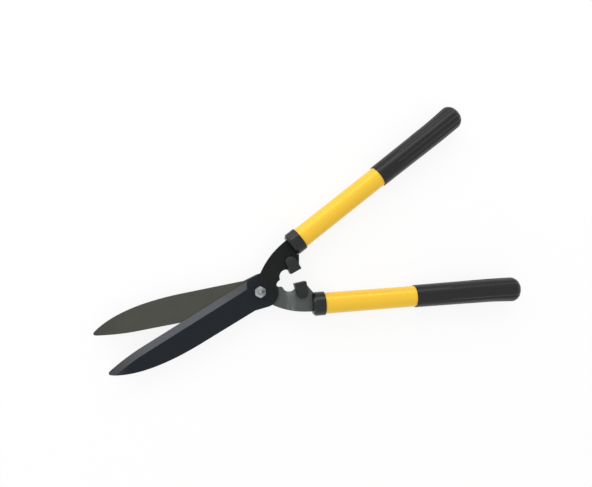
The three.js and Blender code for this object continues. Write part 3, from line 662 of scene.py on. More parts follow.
def stamping_outline():
    """The stamping's outline, anticlockwise from the tip, and which points lie on the ground edge."""
    tip = Vector((-BLADE_REACH, TIP_OFFSET - TIP_WIDTH / 2))
    spine_end = Vector((SPINE_CURVE_LENGTH - BLADE_REACH, SPINE_CURVE_RISE - SPINE_OFFSET))
    spine = [
        Vector((tip.x + along * SPINE_CURVE_LENGTH, tip.y + down * (spine_end.y - tip.y)))
        for along, down in SPINE_CONTROL_SHARES
    ]
    straight_end = Vector((-SPINE_STRAIGHT_END, -SPINE_OFFSET))
    bite = BOSS + Matrix.Rotation(BITE_TURN, 2) @ Vector((BOSS_RADIUS + BITE_RADIUS - BITE_DEPTH, 0))
    boss_start = turn_to(BOSS, straight_end) + math.acos(BOSS_RADIUS / (straight_end - BOSS).length)
    boss_meets = circles_meet(BOSS, BOSS_RADIUS, bite, BITE_RADIUS)[1]
    boss_sweep = (turn_to(BOSS, boss_meets) - boss_start) % math.tau
    corner = circles_meet(bite, BITE_RADIUS, SCALLOP, SCALLOP_RADIUS)[0]
    bite_start = turn_to(bite, boss_meets)
    bite_sweep = (1 - CORNER_SHARE) * ((bite_start - turn_to(bite, corner)) % math.tau)
    scallop_corner = turn_to(SCALLOP, corner)
    scallop_sweep = (scallop_corner - SCALLOP_END_TURN) % math.tau
    scallop_start = scallop_corner - CORNER_SHARE * scallop_sweep

    boss = arc(BOSS, BOSS_RADIUS, boss_start, boss_sweep, CURVE_STEPS)
    bite_arc = arc(bite, BITE_RADIUS, bite_start, -bite_sweep, CURVE_STEPS)
    scallop_rest = (1 - CORNER_SHARE) * scallop_sweep
    scallop_arc = arc(SCALLOP, SCALLOP_RADIUS, scallop_start, -scallop_rest, CURVE_STEPS)
    nose = curve((bite_arc[-1], corner, scallop_arc[0]), ROLL_STEPS * 3)
    outer = on_handle(-TIGHT, SHOULDER_OUTER)
    neck = [
        Vector((HEEL_END + along * (outer.x - HEEL_END), EDGE_OFFSET + up * (outer.y - EDGE_OFFSET)))
        for along, up in NECK_CONTROL_SHARES
    ]
    heel = Vector((HEEL_END, EDGE_OFFSET))
    ground = Vector((-BEVEL_HEEL, EDGE_OFFSET))
    corners = [
        Vector((LUG_START, LUG_FACE)),
        Vector((LUG_START + LUG_WIDTH, LUG_FACE)),
        FLANK,
        inner_shoulder(),
        on_handle(-TIGHT, -NOSE_INNER),
        on_handle(-TIGHT, -TONGUE_WIDTH / 2),
        on_handle(TONGUE_LENGTH, -TONGUE_WIDTH / 2),
        on_handle(TONGUE_LENGTH, TONGUE_WIDTH / 2),
        on_handle(-TIGHT, TONGUE_WIDTH / 2),
    ]
    edge = cutting_edge(CURVE_STEPS)
    back = curve((tip, *spine, spine_end), 2 * CURVE_STEPS)
    skip = TIP_SKIPPED_POINTS
    rounded_tip = curve((edge[-1 - skip], edge[-1], tip, back[skip]), ROLL_STEPS * 4)
    rolled = [
        rounded_tip[1:-1],
        back[skip:],
        straight(spine_end, straight_end, SPINE_SPACING),
        boss,
        bite_arc,
        nose,
        scallop_arc,
        corners,
        curve((outer, neck[1], neck[0], heel), CURVE_STEPS),
        straight(heel, ground, HEEL_SPACING),
    ]
    ground_start = ground - Vector((GROUND_STEP, 0))
    sharp = [straight(ground_start, edge[0], EDGE_SPACING), edge[:-skip]]
    outline = []
    for pieces, ground_here in ((rolled, False), (sharp, True)):
        for point in (point for piece in pieces for point in piece):
            if not outline or (point - outline[-1][0]).length > NEAR:
                outline.append((point, ground_here))
    return outline


def inset(outline, distances):
    """Every point of an anticlockwise outline moved inwards by its own distance, or at a sharp corner
    up to twice as far."""
    count = len(outline)
    moved = []
    for i, point in enumerate(outline):
        before = (point - outline[i - 1]).normalized()
        after = (outline[(i + 1) % count] - point).normalized()
        left_before = Vector((-before.y, before.x))
        left_after = Vector((-after.y, after.x))
        mitre = (left_before + left_after).normalized()
        moved.append(point + mitre * distances[i] / max(mitre.dot(left_after), 0.5))
    return moved


def bridge(bm, first, second):
    """Faces between two rings of vertices, either of which may be a single point."""
    count = max(len(first), len(second))
    for i in range(count):
        j = (i + 1) % count
        corners = [(first, i), (first, j), (second, j), (second, i)]
        bm.faces.new(list(dict.fromkeys(ring[k % len(ring)] for ring, k in corners)))


def fill(bm, *rings):
    """A flat face inside the first ring, with the other rings as its holes."""
    edges = [
        bm.edges.get((ring[i - 1], ring[i])) or bm.edges.new((ring[i - 1], ring[i]))
        for ring in rings
        for i in range(len(ring))
    ]
    bmesh.ops.triangle_fill(bm, use_beauty=True, edges=edges, normal=(0, 0, 1))


def plate(outline, low, high, roll, rolls=None, holes=()):
    """A flat solid with rolled edges. rolls says how much of the roll each point of the outline has."""
    bm = bmesh.new()
    rolls = rolls or [1] * len(outline)
    turns = [math.pi / 2 * i / ROLL_STEPS for i in range(ROLL_STEPS + 1)]
    levels = [(1 - math.sin(turn), low + roll * (1 - math.cos(turn))) for turn in turns]
    levels += [(1 - math.cos(turn), high - roll * (1 - math.sin(turn))) for turn in turns]
    rings = []
    for draw_in, level in levels:
        points = inset(outline, [roll * draw_in * part for part in rolls])
        rings.append([bm.verts.new((*point, level)) for point in points])
    for first, second in zip(rings, rings[1:]):
        bridge(bm, first, second)
    ends = []
    for level in (low, high):
        ends.append([[bm.verts.new((*point, level)) for point in hole] for hole in holes])
    for first, second in zip(*ends):
        bridge(bm, first, second)
    fill(bm, rings[0], *ends[0])
    fill(bm, rings[-1], *ends[1])
    bmesh.ops.recalc_face_normals(bm, faces=bm.faces)
    return bm


def slice_across(bm, point, ahead):
    """Cuts the faces along the plane through a point."""
    everything = bm.verts[:] + bm.edges[:] + bm.faces[:]
    bmesh.ops.bisect_plane(bm, geom=everything, plane_co=point, plane_no=ahead)


def turned(profile, steps, shape=None, closed=False, first_turn=0.0):
    """A profile of (along, radius) points turned about X. shape may move each (along, radius)."""
    bm = bmesh.new()
    rings = []
    for along, radius in profile:
        if radius == 0:
            rings.append([bm.verts.new((along, 0, 0))])
            continue
        ring = []
        for i in range(steps):
            turn = first_turn + math.tau * i / steps
            x, reach = shape(along, radius, turn) if shape else (along, radius)
            ring.append(bm.verts.new((x, reach * math.sin(turn), reach * math.cos(turn))))
        rings.append(ring)
    for first, second in zip(rings, rings[1:]):
        bridge(bm, first, second)
    if closed:
        bridge(bm, rings[-1], rings[0])
    bmesh.ops.recalc_face_normals(bm, faces=bm.faces)
    return bm


def softened(profile, rounds, steps=5):
    """A profile whose corners are rounded, each by its own radius but over less than half of a side."""
    most = 0.49
    points = [Vector(profile[0])]
    for i in range(1, len(profile) - 1):
        before, corner, after = (Vector(profile[k]) for k in (i - 1, i, i + 1))
        radius = min(rounds[i], most * (before - corner).length, most * (after - corner).length)
        if radius <= 0:
            points.append(corner)
            continue
        start = corner + (before - corner).normalized() * radius
        end = corner + (after - corner).normalized() * radius
        points += curve((start, corner, end), steps)
    points.append(Vector(profile[-1]))
    return [tuple(point) for point in points]


def mesh_of(bm, *materials):
    mesh = bpy.data.meshes.new("shape")
    bm.to_mesh(mesh)
    bm.free()
    for material in materials:
        mesh.materials.append(material)
    return mesh


def carved(stock, tool):
    """The first mesh less the second. The cut faces keep the tool's material."""
    objects = [bpy.data.objects.new(mesh.name, mesh) for mesh in (stock, tool)]
    for item in objects:
        bpy.context.scene.collection.objects.link(item)
    cut = objects[0].modifiers.new("cut", "BOOLEAN")
    cut.operation = "DIFFERENCE"
    cut.solver = "EXACT"
    cut.object = objects[1]
    cut.material_mode = "TRANSFER"
    graph = bpy.context.evaluated_depsgraph_get()
    mesh = bpy.data.meshes.new_from_object(objects[0].evaluated_get(graph), depsgraph=graph)
    for item in objects:
        bpy.data.objects.remove(item)
    for used in (stock, tool):
        bpy.data.meshes.remove(used)
    return mesh


def room(outline, reach, material):
    """A flat block to cut with, reaching as far above the middle plane as below it."""
    bm = plate(outline, -reach, reach, 0.0)
    bmesh.ops.remove_doubles(bm, verts=bm.verts, dist=MERGE)
    return mesh_of(bm, material)


def piece(name, mesh, place, body, node, slot, crisp=None):
    """A finished piece, riding on its body in a node's stead. It is shaded smooth up to its sharp edges
    and up to the border of the material of index crisp."""
    bm = bmesh.new()
    bm.from_mesh(mesh)
    bmesh.ops.remove_doubles(bm, verts=bm.verts, dist=MERGE)
    bmesh.ops.dissolve_degenerate(bm, edges=bm.edges, dist=MERGE)
    bmesh.ops.recalc_face_normals(bm, faces=bm.faces)
    for face in bm.faces:
        face.smooth = True
    for edge in bm.edges:
        border = {face.material_index == crisp for face in edge.link_faces} == {True, False}
        edge.smooth = edge.is_manifold and not border and edge.calc_face_angle(0) < SHARP_ANGLE
    bm.to_mesh(mesh)
    bm.free()
    mesh.name = name
    made = bpy.data.objects.new(name, mesh)
    bpy.context.scene.collection.objects.link(made)
    made.matrix_world = place
    weighted = made.modifiers.new("even shading", "WEIGHTED_NORMAL")
    weighted.keep_sharp = True
    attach(made, body)
    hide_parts(node)
    return made


def half_place(side):
    """Where a half's own frame stands: the front half turned open, the rear half turned over as well."""
    lift = Matrix.Translation(PIVOT)
    if side == "front":
        return lift @ Matrix.Rotation(OPEN_TURN, 4, "Z")
    return lift @ Matrix.Rotation(-OPEN_TURN, 4, "Z") @ Matrix.Rotation(math.pi, 4, "X")


def handle_place(side):
    shift = Matrix.Translation((HANDLE.x, HANDLE.y, 0))
    return half_place(side) @ shift @ Matrix.Rotation(HANDLE_TURN, 4, "Z")


def bolt_place():
    """The hardware's own frame has X up the bolt."""
    return half_place("front") @ Matrix.Rotation(-math.pi / 2, 4, "Y")


def half_piece(side, name, mesh, node, slot, stands=handle_place, crisp=None):
    """A piece of one half, in its handle's own frame or another."""
    piece(f"{side}_{name}", mesh, stands(side), f"{side}_half", f"{side}_{node}", slot, crisp)


def bolt_piece(name, mesh, node, slot):
    """A piece of the pivot hardware."""
    piece(name, mesh, bolt_place(), "front_half", node, slot)


def settings(context):
    return context.scene.shears


# Blades


def joggle(point):
    """How far the sheet has stepped down at a point: none at the blade, all of it at the tang."""
    along = (point.xy - HANDLE).dot(HANDLE_AHEAD)
    end = -JOGGLE_SETBACK
    start = end - JOGGLE_LENGTH
    bend = JOGGLE_BEND

    def ramp(reach):
        """Zero, then rising one for one, with a bend between."""
        if reach <= -bend:
            return 0
        if reach >= bend:
            return reach
        return (reach + bend) ** 2 / (4 * bend)

    drop = BLADE_LOW + TANG_HIGH
    return -drop * (ramp(along - start) - ramp(along - end)) / JOGGLE_LENGTH


def bevel_tool(bevel_width, material):
    """A wedge carried along the cutting edge, from the heel's lean to past the tip."""
    low = BLADE_LOW + EDGE_THICKNESS
    rise = (THICKNESS - EDGE_THICKNESS) / bevel_width
    edge = cutting_edge(CURVE_STEPS)
    bm = bmesh.new()

    def section(point, inward):
        outside = point - inward * OVERCUT
        inside = point + inward * (bevel_width + OVERCUT)
        top = low + rise * (bevel_width + OVERCUT)
        corners = ((*outside, low - rise * OVERCUT), (*outside, top), (*inside, top))
        return [bm.verts.new(corner) for corner in corners]

    sections = [section(Vector((-BEVEL_HEEL, EDGE_OFFSET)), Vector((-BEVEL_HEEL_LEAN, -1)))]
    for i, point in enumerate(edge):
        ahead = (edge[min(i + 1, CURVE_STEPS)] - edge[max(i - 1, 0)]).normalized()
        inward = Vector((-ahead.y, ahead.x)) if i else Vector((0, -1))
        sections.append(section(point, inward))
    sections.append(section(edge[-1] + ahead * OVERCUT, inward))
    for first, second in zip(sections, sections[1:]):
        bridge(bm, first, second)
    bm.faces.new(sections[0])
    bm.faces.new(sections[-1])
    bmesh.ops.recalc_face_normals(bm, faces=bm.faces)
    return mesh_of(bm, material)


def stamping(side, blade, materials):
    """A stamping with rolled edges, joggled tang, ground bevel and its holes."""
    outline = stamping_outline()
    reach = BOLT_RADIUS + CLEARANCE
    square = [Vector(corner) * reach for corner in ((-1, -1), (1, -1), (1, 1), (-1, 1))]
    pivot_hole = square if side == "front" else arc(Vector((0, 0)), reach, 0, math.tau, CURVE_STEPS)[:-1]
    bm = plate(
        [point for point, _ in outline],
        BLADE_LOW,
        BLADE_HIGH,
        blade.edge_roll,
        [0 if ground else 1 for _, ground in outline],
        [pivot_hole],
    )
    first = -JOGGLE_SETBACK - JOGGLE_LENGTH - JOGGLE_BEND
    for i in range(JOGGLE_CUTS + 1):
        along = first + (JOGGLE_LENGTH + 2 * JOGGLE_BEND) * i / JOGGLE_CUTS
        slice_across(bm, on_handle(along, 0).to_3d(), HANDLE_AHEAD.to_3d())
    for vert in bm.verts:
        vert.co.z += joggle(vert.co)
    middle = (BLADE_LOW + BLADE_HIGH) / 2
    for face in bm.faces:
        level = face.calc_center_median()
        flat = abs(abs(level.z - joggle(level) - middle) - THICKNESS / 2) < NEAR
        face.material_index = 0 if flat else 1
    face_coat, edge_coat, bevel_steel = materials
    stock = mesh_of(bm, face_coat, edge_coat)
    return carved(stock, bevel_tool(blade.bevel_width, bevel_steel))


class BuildBlades(bpy.types.Operator):
    """Builds the two stampings"""

    bl_idname = "shears.build_blades"
    bl_label = "Build blades"

    def execute(self, context):
        blade = settings(context).blade
        finishes = {
            "front": (
                baked_coat("black_coat", blade.coat, 0.0),
                baked_coat("black_coat_edge", blade.coat, 1.0),
                ground_bevel("front_bevel", blade.bevel),
            ),
            "rear": (
                ground_face("grey_face", blade.ground, blade.tang),
                ground_face("grey_edge", blade.ground, blade.tang),
                ground_bevel("rear_bevel", blade.bevel),
            ),
        }
        for side, slot in (("front", "black_blade"), ("rear", "grey_blade")):
            mesh = stamping(side, blade, finishes[side])
            half_piece(side, "stamping", mesh, "blade", slot, half_place, crisp=2)
        return {"FINISHED"}


# Bumpers


def bumper_outline():
    """The block seen from above: a face towards the other bumper and a rounded back."""
    half = BUMPER_WIDTH / 2
    corners = [
        (-half, 0, BUMPER_FACE_ROUND),
        (half, 0, BUMPER_FACE_ROUND),
        (half - BUMPER_TAPER, BUMPER_DEPTH, BUMPER_BACK_ROUND),
        (BUMPER_TAPER - half, BUMPER_DEPTH, BUMPER_BACK_ROUND),
    ]
    starts = (math.pi, -math.pi / 2, 0, math.pi / 2)
    points = []
    for (x, y, radius), start in zip(corners, starts):
        middle = Vector((x - math.copysign(radius, x), y + radius if y == 0 else y - radius))
        points += arc(middle, radius, start, math.pi / 2, BUMPER_STEPS)
    return points


def bumper_slot():
    """The room for the lug and the sheet behind it."""
    lug_end = LUG_START + LUG_WIDTH
    end = SCALLOP_END_TURN
    scallop_end = SCALLOP + SCALLOP_RADIUS * Vector((math.cos(end), math.sin(end)))
    side = SCALLOP.y + math.sqrt(SCALLOP_RADIUS**2 - (BUMPER_START - SCALLOP.x) ** 2)
    shoulder = inner_shoulder()
    return [
        Vector((LUG_START - TIGHT, LUG_FACE - TIGHT)),
        Vector((lug_end + TIGHT, LUG_FACE - TIGHT)),
        FLANK + Vector((TIGHT, -TIGHT)),
        Vector((shoulder.x + TIGHT, shoulder.y - TIGHT)),
        Vector((shoulder.x + TIGHT, 2 * BUMPER_DEPTH)),
        Vector((BUMPER_START - OVERCUT, 2 * BUMPER_DEPTH)),
        Vector((BUMPER_START - OVERCUT, side)),
        Vector((BUMPER_START, side - TIGHT)),
        Vector((scallop_end.x - TIGHT, scallop_end.y - TIGHT)),
    ]


def fall_away(bm, drop):
    """Slopes the top and the bottom of the block down to its back, in a soft curve."""
    run = BUMPER_DEPTH - BUMPER_FALL_START
    for i in range(BUMPER_CUTS):
        slice_across(bm, (0, BUMPER_FALL_START + run * i / BUMPER_CUTS, 0), (0, 1, 0))
    for vert in bm.verts:
        back = max(vert.co.y - BUMPER_FALL_START, 0) / run
        vert.co.z *= 1 - 2 * drop / BUMPER_HEIGHT * back**2


class BuildBumpers(bpy.types.Operator):
    """Builds the two rubber bumpers"""

    bl_idname = "shears.build_bumpers"
    bl_label = "Build bumpers"

    def execute(self, context):
        bumper = settings(context).bumper
        rubber = moulded(
            "bumper_rubber", bumper.rubber, grain=0.0004, depth=0.00003, rough=0.42, level=0.33
        )
        half = BUMPER_HEIGHT / 2
        shift = Matrix.Translation((BUMPER_START + BUMPER_WIDTH / 2, CLEARANCE, 0))
        for side in SIDES:
            block = plate(bumper_outline(), -half, half, bumper.edge_round)
            fall_away(block, bumper.back_drop)
            block.transform(Matrix.Rotation(-CLOSED_TURN, 4, "Z") @ shift)
            lug_room = room(bumper_slot(), TANG_HIGH + TIGHT, rubber)
            mesh = carved(mesh_of(block, rubber), lug_room)
            half_piece(side, "rubber_bumper", mesh, "bumper", "bumper_rubber", half_place)
        return {"FINISHED"}


# Handles


class BuildFerrules(bpy.types.Operator):
    """Builds the two ferrules"""

    bl_idname = "shears.build_ferrules"
    bl_label = "Build ferrules"

    def execute(self, context):
        handle = settings(context).handle
        plastic = ferrule_plastic("ferrule_plastic", handle.collar)
        bore = TUBE_RADIUS + TIGHT
        rim = FERRULE_RADIUS
        nose = handle.nose_length
        # Along the handle, radius, and how much the corner is rounded
        corners = (
            (0, 0, 0),
            (0, rim - handle.nose_drop, 0.0005),
            (nose, rim, 0.0008),
            (FERRULE_LENGTH, rim, handle.rim_round),
            (FERRULE_LENGTH, bore, 0.0001),
            (FERRULE_WALL, bore, 0),
            (FERRULE_WALL, 0, 0),
        )
        profile = softened([corner[:2] for corner in corners], [corner[2] for corner in corners])
        wide = TONGUE_WIDTH / 2 + TIGHT
        low = -OVERCUT
        high = FERRULE_WALL + OVERCUT
        slot = [Vector(corner) for corner in ((low, -wide), (high, -wide), (high, wide), (low, wide))]
        for side in SIDES:
            collar = mesh_of(turned(profile, ROUND_STEPS), plastic)
            mesh = carved(collar, room(slot, TANG_HIGH + TIGHT, plastic))
            half_piece(side, "collar", mesh, "ferrule", "collar_plastic")
        return {"FINISHED"}


class BuildTubes(bpy.types.Operator):
    """Builds the two enamelled tubes"""

    bl_idname = "shears.build_tubes"
    bl_label = "Build tubes"

    def execute(self, context):
        paint = enamel("yellow_enamel", settings(context).handle.enamel)
        bore = TUBE_RADIUS - TUBE_WALL
        step = (TUBE_END - TUBE_START) / TUBE_RINGS
        outside = [(TUBE_START + step * i, TUBE_RADIUS) for i in range(TUBE_RINGS + 1)]
        profile = [*outside, (TUBE_END, bore), (TUBE_START, bore)]
        for side in SIDES:
            mesh = mesh_of(turned(profile, ROUND_STEPS, closed=True), paint)
            half_piece(side, "enamel_tube", mesh, "tube", "yellow_paint")
        return {"FINISHED"}


def smooth_step(value, low, high):
    """0 below low, 1 above high, and smooth in between."""
    part = min(max((value - low) / (high - low), 0), 1)
    return part * part * (3 - 2 * part)


def grip_radius(along):
    """Radius of the grip before its flutes: it grows slowly to the dome."""
    wall = GRIP_MOUTH_RADIUS + GRIP_GROWTH * (along - GRIP_START) / (GRIP_END - GRIP_START)
    into = max(along - (GRIP_END - DOME_LENGTH), 0) / DOME_LENGTH
    return wall * math.sqrt(max(1 - into**2, 0))


def grip_profile(start):
    """Bore, rounded mouth, wall and dome, as (along, radius) points."""
    bore = TUBE_RADIUS + TIGHT
    lip = start + GRIP_LIP
    mouth = softened(
        [(lip, bore), (start, bore), (start, grip_radius(start)), (lip, grip_radius(lip))],
        (0, 0.0003, 0.0007, 0),
    )
    dome_start = GRIP_END - DOME_LENGTH
    rings = [lip + (dome_start - lip) * i / WALL_RINGS for i in range(1, WALL_RINGS + 1)]
    rings += [
        dome_start + DOME_LENGTH * math.sin(math.pi / 2 * i / DOME_RINGS) for i in range(1, DOME_RINGS)
    ]
    wall = [(along, grip_radius(along)) for along in rings]
    return [(GRIP_BORE_END, 0), (GRIP_BORE_END, bore), *mouth, *wall, (GRIP_END, 0)]


class BuildGrips(bpy.types.Operator):
    """Builds the two fluted grips"""

    bl_idname = "shears.build_grips"
    bl_label = "Build grips"

    def execute(self, context):
        grip = settings(context).grip
        vinyl = grip_vinyl("grip_vinyl", grip.vinyl)
        full = grip_radius(GRIP_END - DOME_LENGTH)
        inside = TUBE_RADIUS + 2 * TIGHT

        def relief(along, radius, turn):
            """Flutes that start later towards the sides, and the swell of the far end."""
            if radius < inside and along < GRIP_BORE_END + NEAR:
                return along, radius
            outward = math.sin(turn)
            start = GRIP_START + grip.flute_start + grip.flute_lag * outward**2
            ramp = smooth_step(along, start, start + FLUTE_RAMP)
            flute = max(math.cos(grip.flutes * (turn - FIRST_FLUTE)), 0) ** 2
            swell = smooth_step(along, GRIP_END - SWELL_LENGTH, GRIP_END)
            swell *= max(outward, 0) ** 2 - INNER_DRAW_IN * min(outward, 0) ** 2
            fullness = min(radius / full, 1)
            flute *= fullness**2
            return along, radius + (grip.swell * swell - grip.flute_depth * ramp * flute) * fullness

        for side in SIDES:
            bm = turned(grip_profile(GRIP_MOUTHS[side]), 2 * ROUND_STEPS, relief)
            half_piece(side, "vinyl_grip", mesh_of(bm, vinyl), "grip", "grip_rubber")
        return {"FINISHED"}


# Pivot hardware


def hex_reach(turn):
    """From the axis to the side of a hexagon."""
    return min(HEX_FLAT / math.cos((turn - HEAD_CORNER) % (math.pi / 3) - math.pi / 6), HEX_CORNER)


def hex_shape(low, high):
    """Points at or beyond the flats go to the hexagon. At its ends they follow the cone that cuts the
    corners."""

    def shape(along, radius, turn):
        if radius < HEX_FLAT:
            return along, radius
        reach = hex_reach(turn)
        cut = HEX_CONE * (reach - HEX_FLAT)
        if high is not None and along >= high - MERGE:
            return along - cut, reach
        if low is not None and along <= low + MERGE:
            return along + cut, reach
        return along, reach

    return shape


class BuildBolt(bpy.types.Operator):
    """Builds the pivot bolt: dished hex head, shank and threaded end"""

    bl_idname = "shears.build_bolt"
    bl_label = "Build pivot bolt"

    def execute(self, context):
        hardware = settings(context).hardware
        # The bolt's head gets painted shade on one side, and in its dish.
        zinc = plated("zinc_bolt", hardware.zinc, wear_and_side_shade=0.62)
        top = HEAD_SEAT + hardware.head_height
        floor = top - hardware.dish_depth
        dish = hardware.dish_radius
        first_thread = BOLT_LOW + THREAD_RUN_OUT
        step = (NUT_HIGH - BOLT_LOW - THREAD_RUN_OUT) / THREAD_RINGS
        profile = [
            (BOLT_LOW, 0),
            (BOLT_LOW, BOLT_RADIUS - 2 * THREAD_RUN_OUT),
            *[(first_thread + step * i, BOLT_RADIUS) for i in range(THREAD_RINGS + 1)],
            (NUT_HIGH + 0.0001, BOLT_RADIUS),
            (HEAD_SEAT, BOLT_RADIUS),
            (HEAD_SEAT, HEX_FLAT - 0.0003),
            (HEAD_SEAT, HEX_FLAT),
            (top - HEX_CUT, HEX_FLAT),
            *[(top + up, HEX_FLAT - inward) for up, inward in HEAD_CROWN],
            (top - 0.0001, dish),
            *[(floor + up, dish - inward) for up, inward in DISH_WALL],
            *[(floor + up, radius) for up, radius in DISH_MIDDLE],
        ]
        corner_cut = hex_shape(None, top)

        def shape(along, radius, turn):
            if along < NUT_HIGH and radius == BOLT_RADIUS:
                wave = abs(((along / THREAD_PITCH + turn / math.tau) % 1) * 2 - 1)
                fade = smooth_step(along, BOLT_LOW, BOLT_LOW + 2 * THREAD_RUN_OUT)
                return along, radius - THREAD_DEPTH * (wave * fade + THREAD_END_SHARE * (1 - fade))
            return corner_cut(along, radius, turn)

        bm = turned(profile, HARDWARE_STEPS, shape, first_turn=HEAD_CORNER)
        bolt_piece("dished_bolt", mesh_of(bm, zinc), "pivot_bolt", "zinc_steel")
        return {"FINISHED"}


def ring_profile(low, high, bore, radius):
    return [(low, bore), (low, radius), (high, radius), (high, bore)]


class BuildWashers(bpy.types.Operator):
    """Builds the flat washer and the wave washer"""

    bl_idname = "shears.build_washers"
    bl_label = "Build washers"

    def execute(self, context):
        hardware = settings(context).hardware
        bore = BOLT_RADIUS + CLEARANCE
        soft = 0.0002
        flat = [
            (WASHER_LOW, bore),
            (WASHER_LOW, WASHER_RADIUS - soft),
            (WASHER_LOW + soft, WASHER_RADIUS),
            (WASHER_HIGH - soft, WASHER_RADIUS),
            (WASHER_HIGH, WASHER_RADIUS - soft),
            (WASHER_HIGH, bore),
        ]
        zinc = plated("zinc_washer", hardware.zinc)
        mesh = mesh_of(turned(flat, HARDWARE_STEPS, closed=True), zinc)
        bolt_piece("plated_washer", mesh, "flat_washer", "zinc_steel")

        middle = WAVE_HIGH - WAVE_HEIGHT
        wave = ring_profile(middle - WAVE_THICKNESS, middle, bore, HEX_FLAT)

        def ripple(along, radius, turn):
            return along + WAVE_HEIGHT * math.cos(WAVE_COUNT * turn), radius

        steel = plated("oiled_spring_steel", hardware.spring, rough=0.38)
        mesh = mesh_of(turned(wave, HARDWARE_STEPS, ripple, closed=True), steel)
        bolt_piece("spring_washer", mesh, "wave_washer", "spring_steel")
        return {"FINISHED"}


class BuildNut(bpy.types.Operator):
    """Builds the lock nut and its nylon insert"""

    bl_idname = "shears.build_nut"
    bl_label = "Build lock nut"

    def execute(self, context):
        hardware = settings(context).hardware
        bore = BOLT_RADIUS + TIGHT
        seat = INSERT_RADIUS + TIGHT
        insert_low = NUT_LOW + CLEARANCE
        insert_high = insert_low + INSERT_HEIGHT
        soft = 0.0004
        profile = [
            (insert_high + TIGHT, bore),
            (insert_high + TIGHT, seat),
            (NUT_LOW + 0.0001, seat),
            (NUT_LOW, seat + 0.0001),
            (NUT_LOW, COLLAR_RADIUS - soft),
            (NUT_LOW + soft / 3, COLLAR_RADIUS - soft / 3),
            (NUT_LOW + soft, COLLAR_RADIUS),
            (COLLAR_HIGH, COLLAR_RADIUS),
            (COLLAR_HIGH, HEX_FLAT),
            (COLLAR_HIGH + HEX_CUT, HEX_FLAT),
            (NUT_HIGH - HEX_CUT, HEX_FLAT),
            (NUT_HIGH, HEX_FLAT),
            (NUT_HIGH, HEX_FLAT - 0.0002),
            (NUT_HIGH, bore + 0.0004),
            (NUT_HIGH - 0.0004, bore),
        ]
        zinc = plated("zinc_nut", hardware.zinc)
        shape = hex_shape(COLLAR_HIGH, NUT_HIGH)
        bm = turned(profile, HARDWARE_STEPS, shape, closed=True, first_turn=HEAD_CORNER)
        bolt_piece("plated_lock_nut", mesh_of(bm, zinc), "lock_nut", "zinc_steel")

        ring = ring_profile(insert_low, insert_high, bore + 2 * TIGHT, INSERT_RADIUS)
        nylon = moulded("insert_nylon", hardware.nylon, grain=0.0003, depth=0.00001, rough=0.45)
        mesh = mesh_of(turned(ring, HARDWARE_STEPS, closed=True), nylon)
        bolt_piece("nylon_ring", mesh, "nut_insert", "nylon")
        return {"FINISHED"}


class FinishCores(bpy.types.Operator):
    """Gives the plugs, cross pins and end caps inside the tubes their finishes"""

    bl_idname = "shears.finish_cores"
    bl_label = "Finish inner parts"

    def execute(self, context):
        plastic = moulded("core_plastic", CORE_BLACK, grain=0.0006, depth=0.00002, rough=0.5)
        zinc = plated("zinc_pin", settings(context).hardware.zinc)
        for side in SIDES:
            for part, finish in (("tang_plug", plastic), ("tang_pin", zinc), ("tube_end_cap", plastic)):
                slots = frame["nodes"][f"{side}_{part}"].data.materials
                slots.clear()
                slots.append(finish)
        return {"FINISHED"}


# Stage


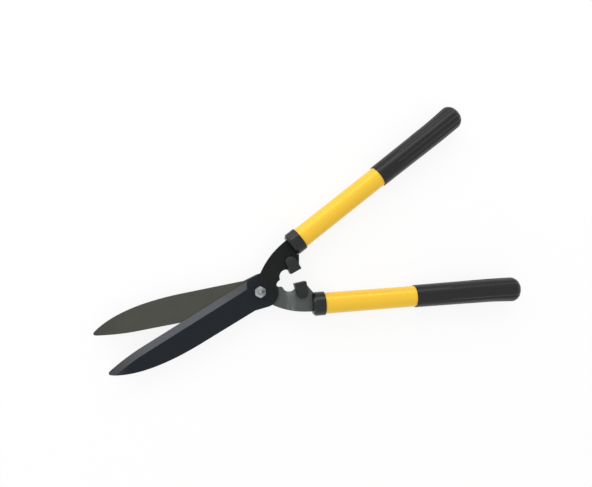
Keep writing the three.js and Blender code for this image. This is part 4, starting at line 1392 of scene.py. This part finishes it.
class SetStage(bpy.types.Operator):
    """Sets up the floor, the lights and the camera"""

    bl_idname = "shears.set_stage"
    bl_label = "Set stage"

    def execute(self, context):
        stage = settings(context).stage
        scene = context.scene
        self.lay_floor(scene, stage)
        self.light_world(scene, stage)
        self.hang_light(scene, "strip_light", stage.strip)
        self.hang_light(scene, "side_light", stage.side)
        self.set_camera(scene)
        scene.view_settings.view_transform = "Standard"
        return {"FINISHED"}

    def lay_floor(self, scene, stage):
        bm = bmesh.new()
        corners = ((-1, -1, 0), (1, -1, 0), (1, 1, 0), (-1, 1, 0))
        bm.faces.new([bm.verts.new(FLOOR_REACH * Vector(corner)) for corner in corners])
        paint = bpy.data.materials.new("pale_floor")
        nodes = Nodes(paint)
        plain = nodes.node("ShaderNodeBsdfDiffuse", {}, {"Color": stage.floor})
        white = nodes.node("ShaderNodeEmission", {}, {"Color": (1, 1, 1), "Strength": 1.0})
        faded = nodes.seen_directly() * stage.floor_white
        nodes.close_mixed(faded, plain, white, "ShaderNodeOutputMaterial")
        floor = bpy.data.objects.new("floor", mesh_of(bm, paint))
        scene.collection.objects.link(floor)

    def light_world(self, scene, stage):
        world = bpy.data.worlds.new("studio")
        nodes = Nodes(world)
        light, seen = (
            nodes.node("ShaderNodeBackground", {}, {"Color": (1, 1, 1), "Strength": strength})
            for strength in (stage.ambient, 1.0)
        )
        nodes.close_mixed(nodes.seen_directly(), light, seen, "ShaderNodeOutputWorld")
        scene.world = world

    def hang_light(self, scene, name, power):
        """A soft light aimed at the pivot."""
        size, distance, round_view, lift = LIGHTS[name]
        lamp = bpy.data.lights.new(name, "AREA")
        lamp.shape = "RECTANGLE"
        lamp.size, lamp.size_y = size
        lamp.energy = power
        round_view, lift = math.radians(round_view), math.radians(lift)
        flat = math.cos(round_view) * CAMERA_RIGHT + math.sin(round_view) * CAMERA_UP
        place = distance * (math.cos(lift) * flat + math.sin(lift) * CAMERA_BACK)
        item = bpy.data.objects.new(name, lamp)
        item.location = place
        item.rotation_euler = (-place).to_track_quat("-Z", "Y").to_euler()
        scene.collection.objects.link(item)

    def set_camera(self, scene):
        lens = bpy.data.cameras.new("camera")
        lens.sensor_width = CAMERA_SENSOR
        lens.lens = CAMERA_LENS
        lens.clip_start = 0.01
        camera = bpy.data.objects.new("camera", lens)
        turn = Matrix((CAMERA_RIGHT, CAMERA_UP, CAMERA_BACK)).transposed().to_4x4()
        camera.matrix_world = Matrix.Translation(CAMERA_PLACE) @ turn
        scene.collection.objects.link(camera)
        scene.camera = camera


class ShearsPanel(bpy.types.Panel):
    """Sizes, colours and steps of the hedge shears"""

    bl_idname = "SHEARS_PT_parts"
    bl_label = "Hedge shears"
    bl_space_type = "VIEW_3D"
    bl_region_type = "UI"
    bl_category = "Shears"

    def draw(self, context):
        for group, steps in PANEL_ROWS:
            box = self.layout.box()
            values = getattr(settings(context), group)
            for name in type(values).__annotations__:
                box.prop(values, name)
            for step in steps:
                box.operator(step.bl_idname)


PANEL_ROWS = (
    ("blade", (BuildBlades,)),
    ("bumper", (BuildBumpers,)),
    ("handle", (BuildFerrules, BuildTubes)),
    ("grip", (BuildGrips,)),
    ("hardware", (BuildBolt, BuildWashers, BuildNut, FinishCores)),
    ("stage", (SetStage,)),
)

CLASSES = (
    BladeSettings,
    BumperSettings,
    HandleSettings,
    GripSettings,
    HardwareSettings,
    StageSettings,
    ShearsSettings,
    *(step for _, steps in PANEL_ROWS for step in steps),
    ShearsPanel,
)


def register():
    for kind in CLASSES:
        bpy.utils.register_class(kind)
    bpy.types.Scene.shears = PointerProperty(type=ShearsSettings)


def unregister():
    del bpy.types.Scene.shears
    for kind in reversed(CLASSES):
        bpy.utils.unregister_class(kind)


def main():
    register()
    steps = bpy.ops.shears
    steps.set_stage()
    steps.build_blades()
    steps.build_bumpers()
    steps.build_ferrules()
    steps.build_tubes()
    steps.build_grips()
    steps.build_bolt()
    steps.build_washers()
    steps.build_nut()
    steps.finish_cores()


if __name__ == "__main__":
    main()
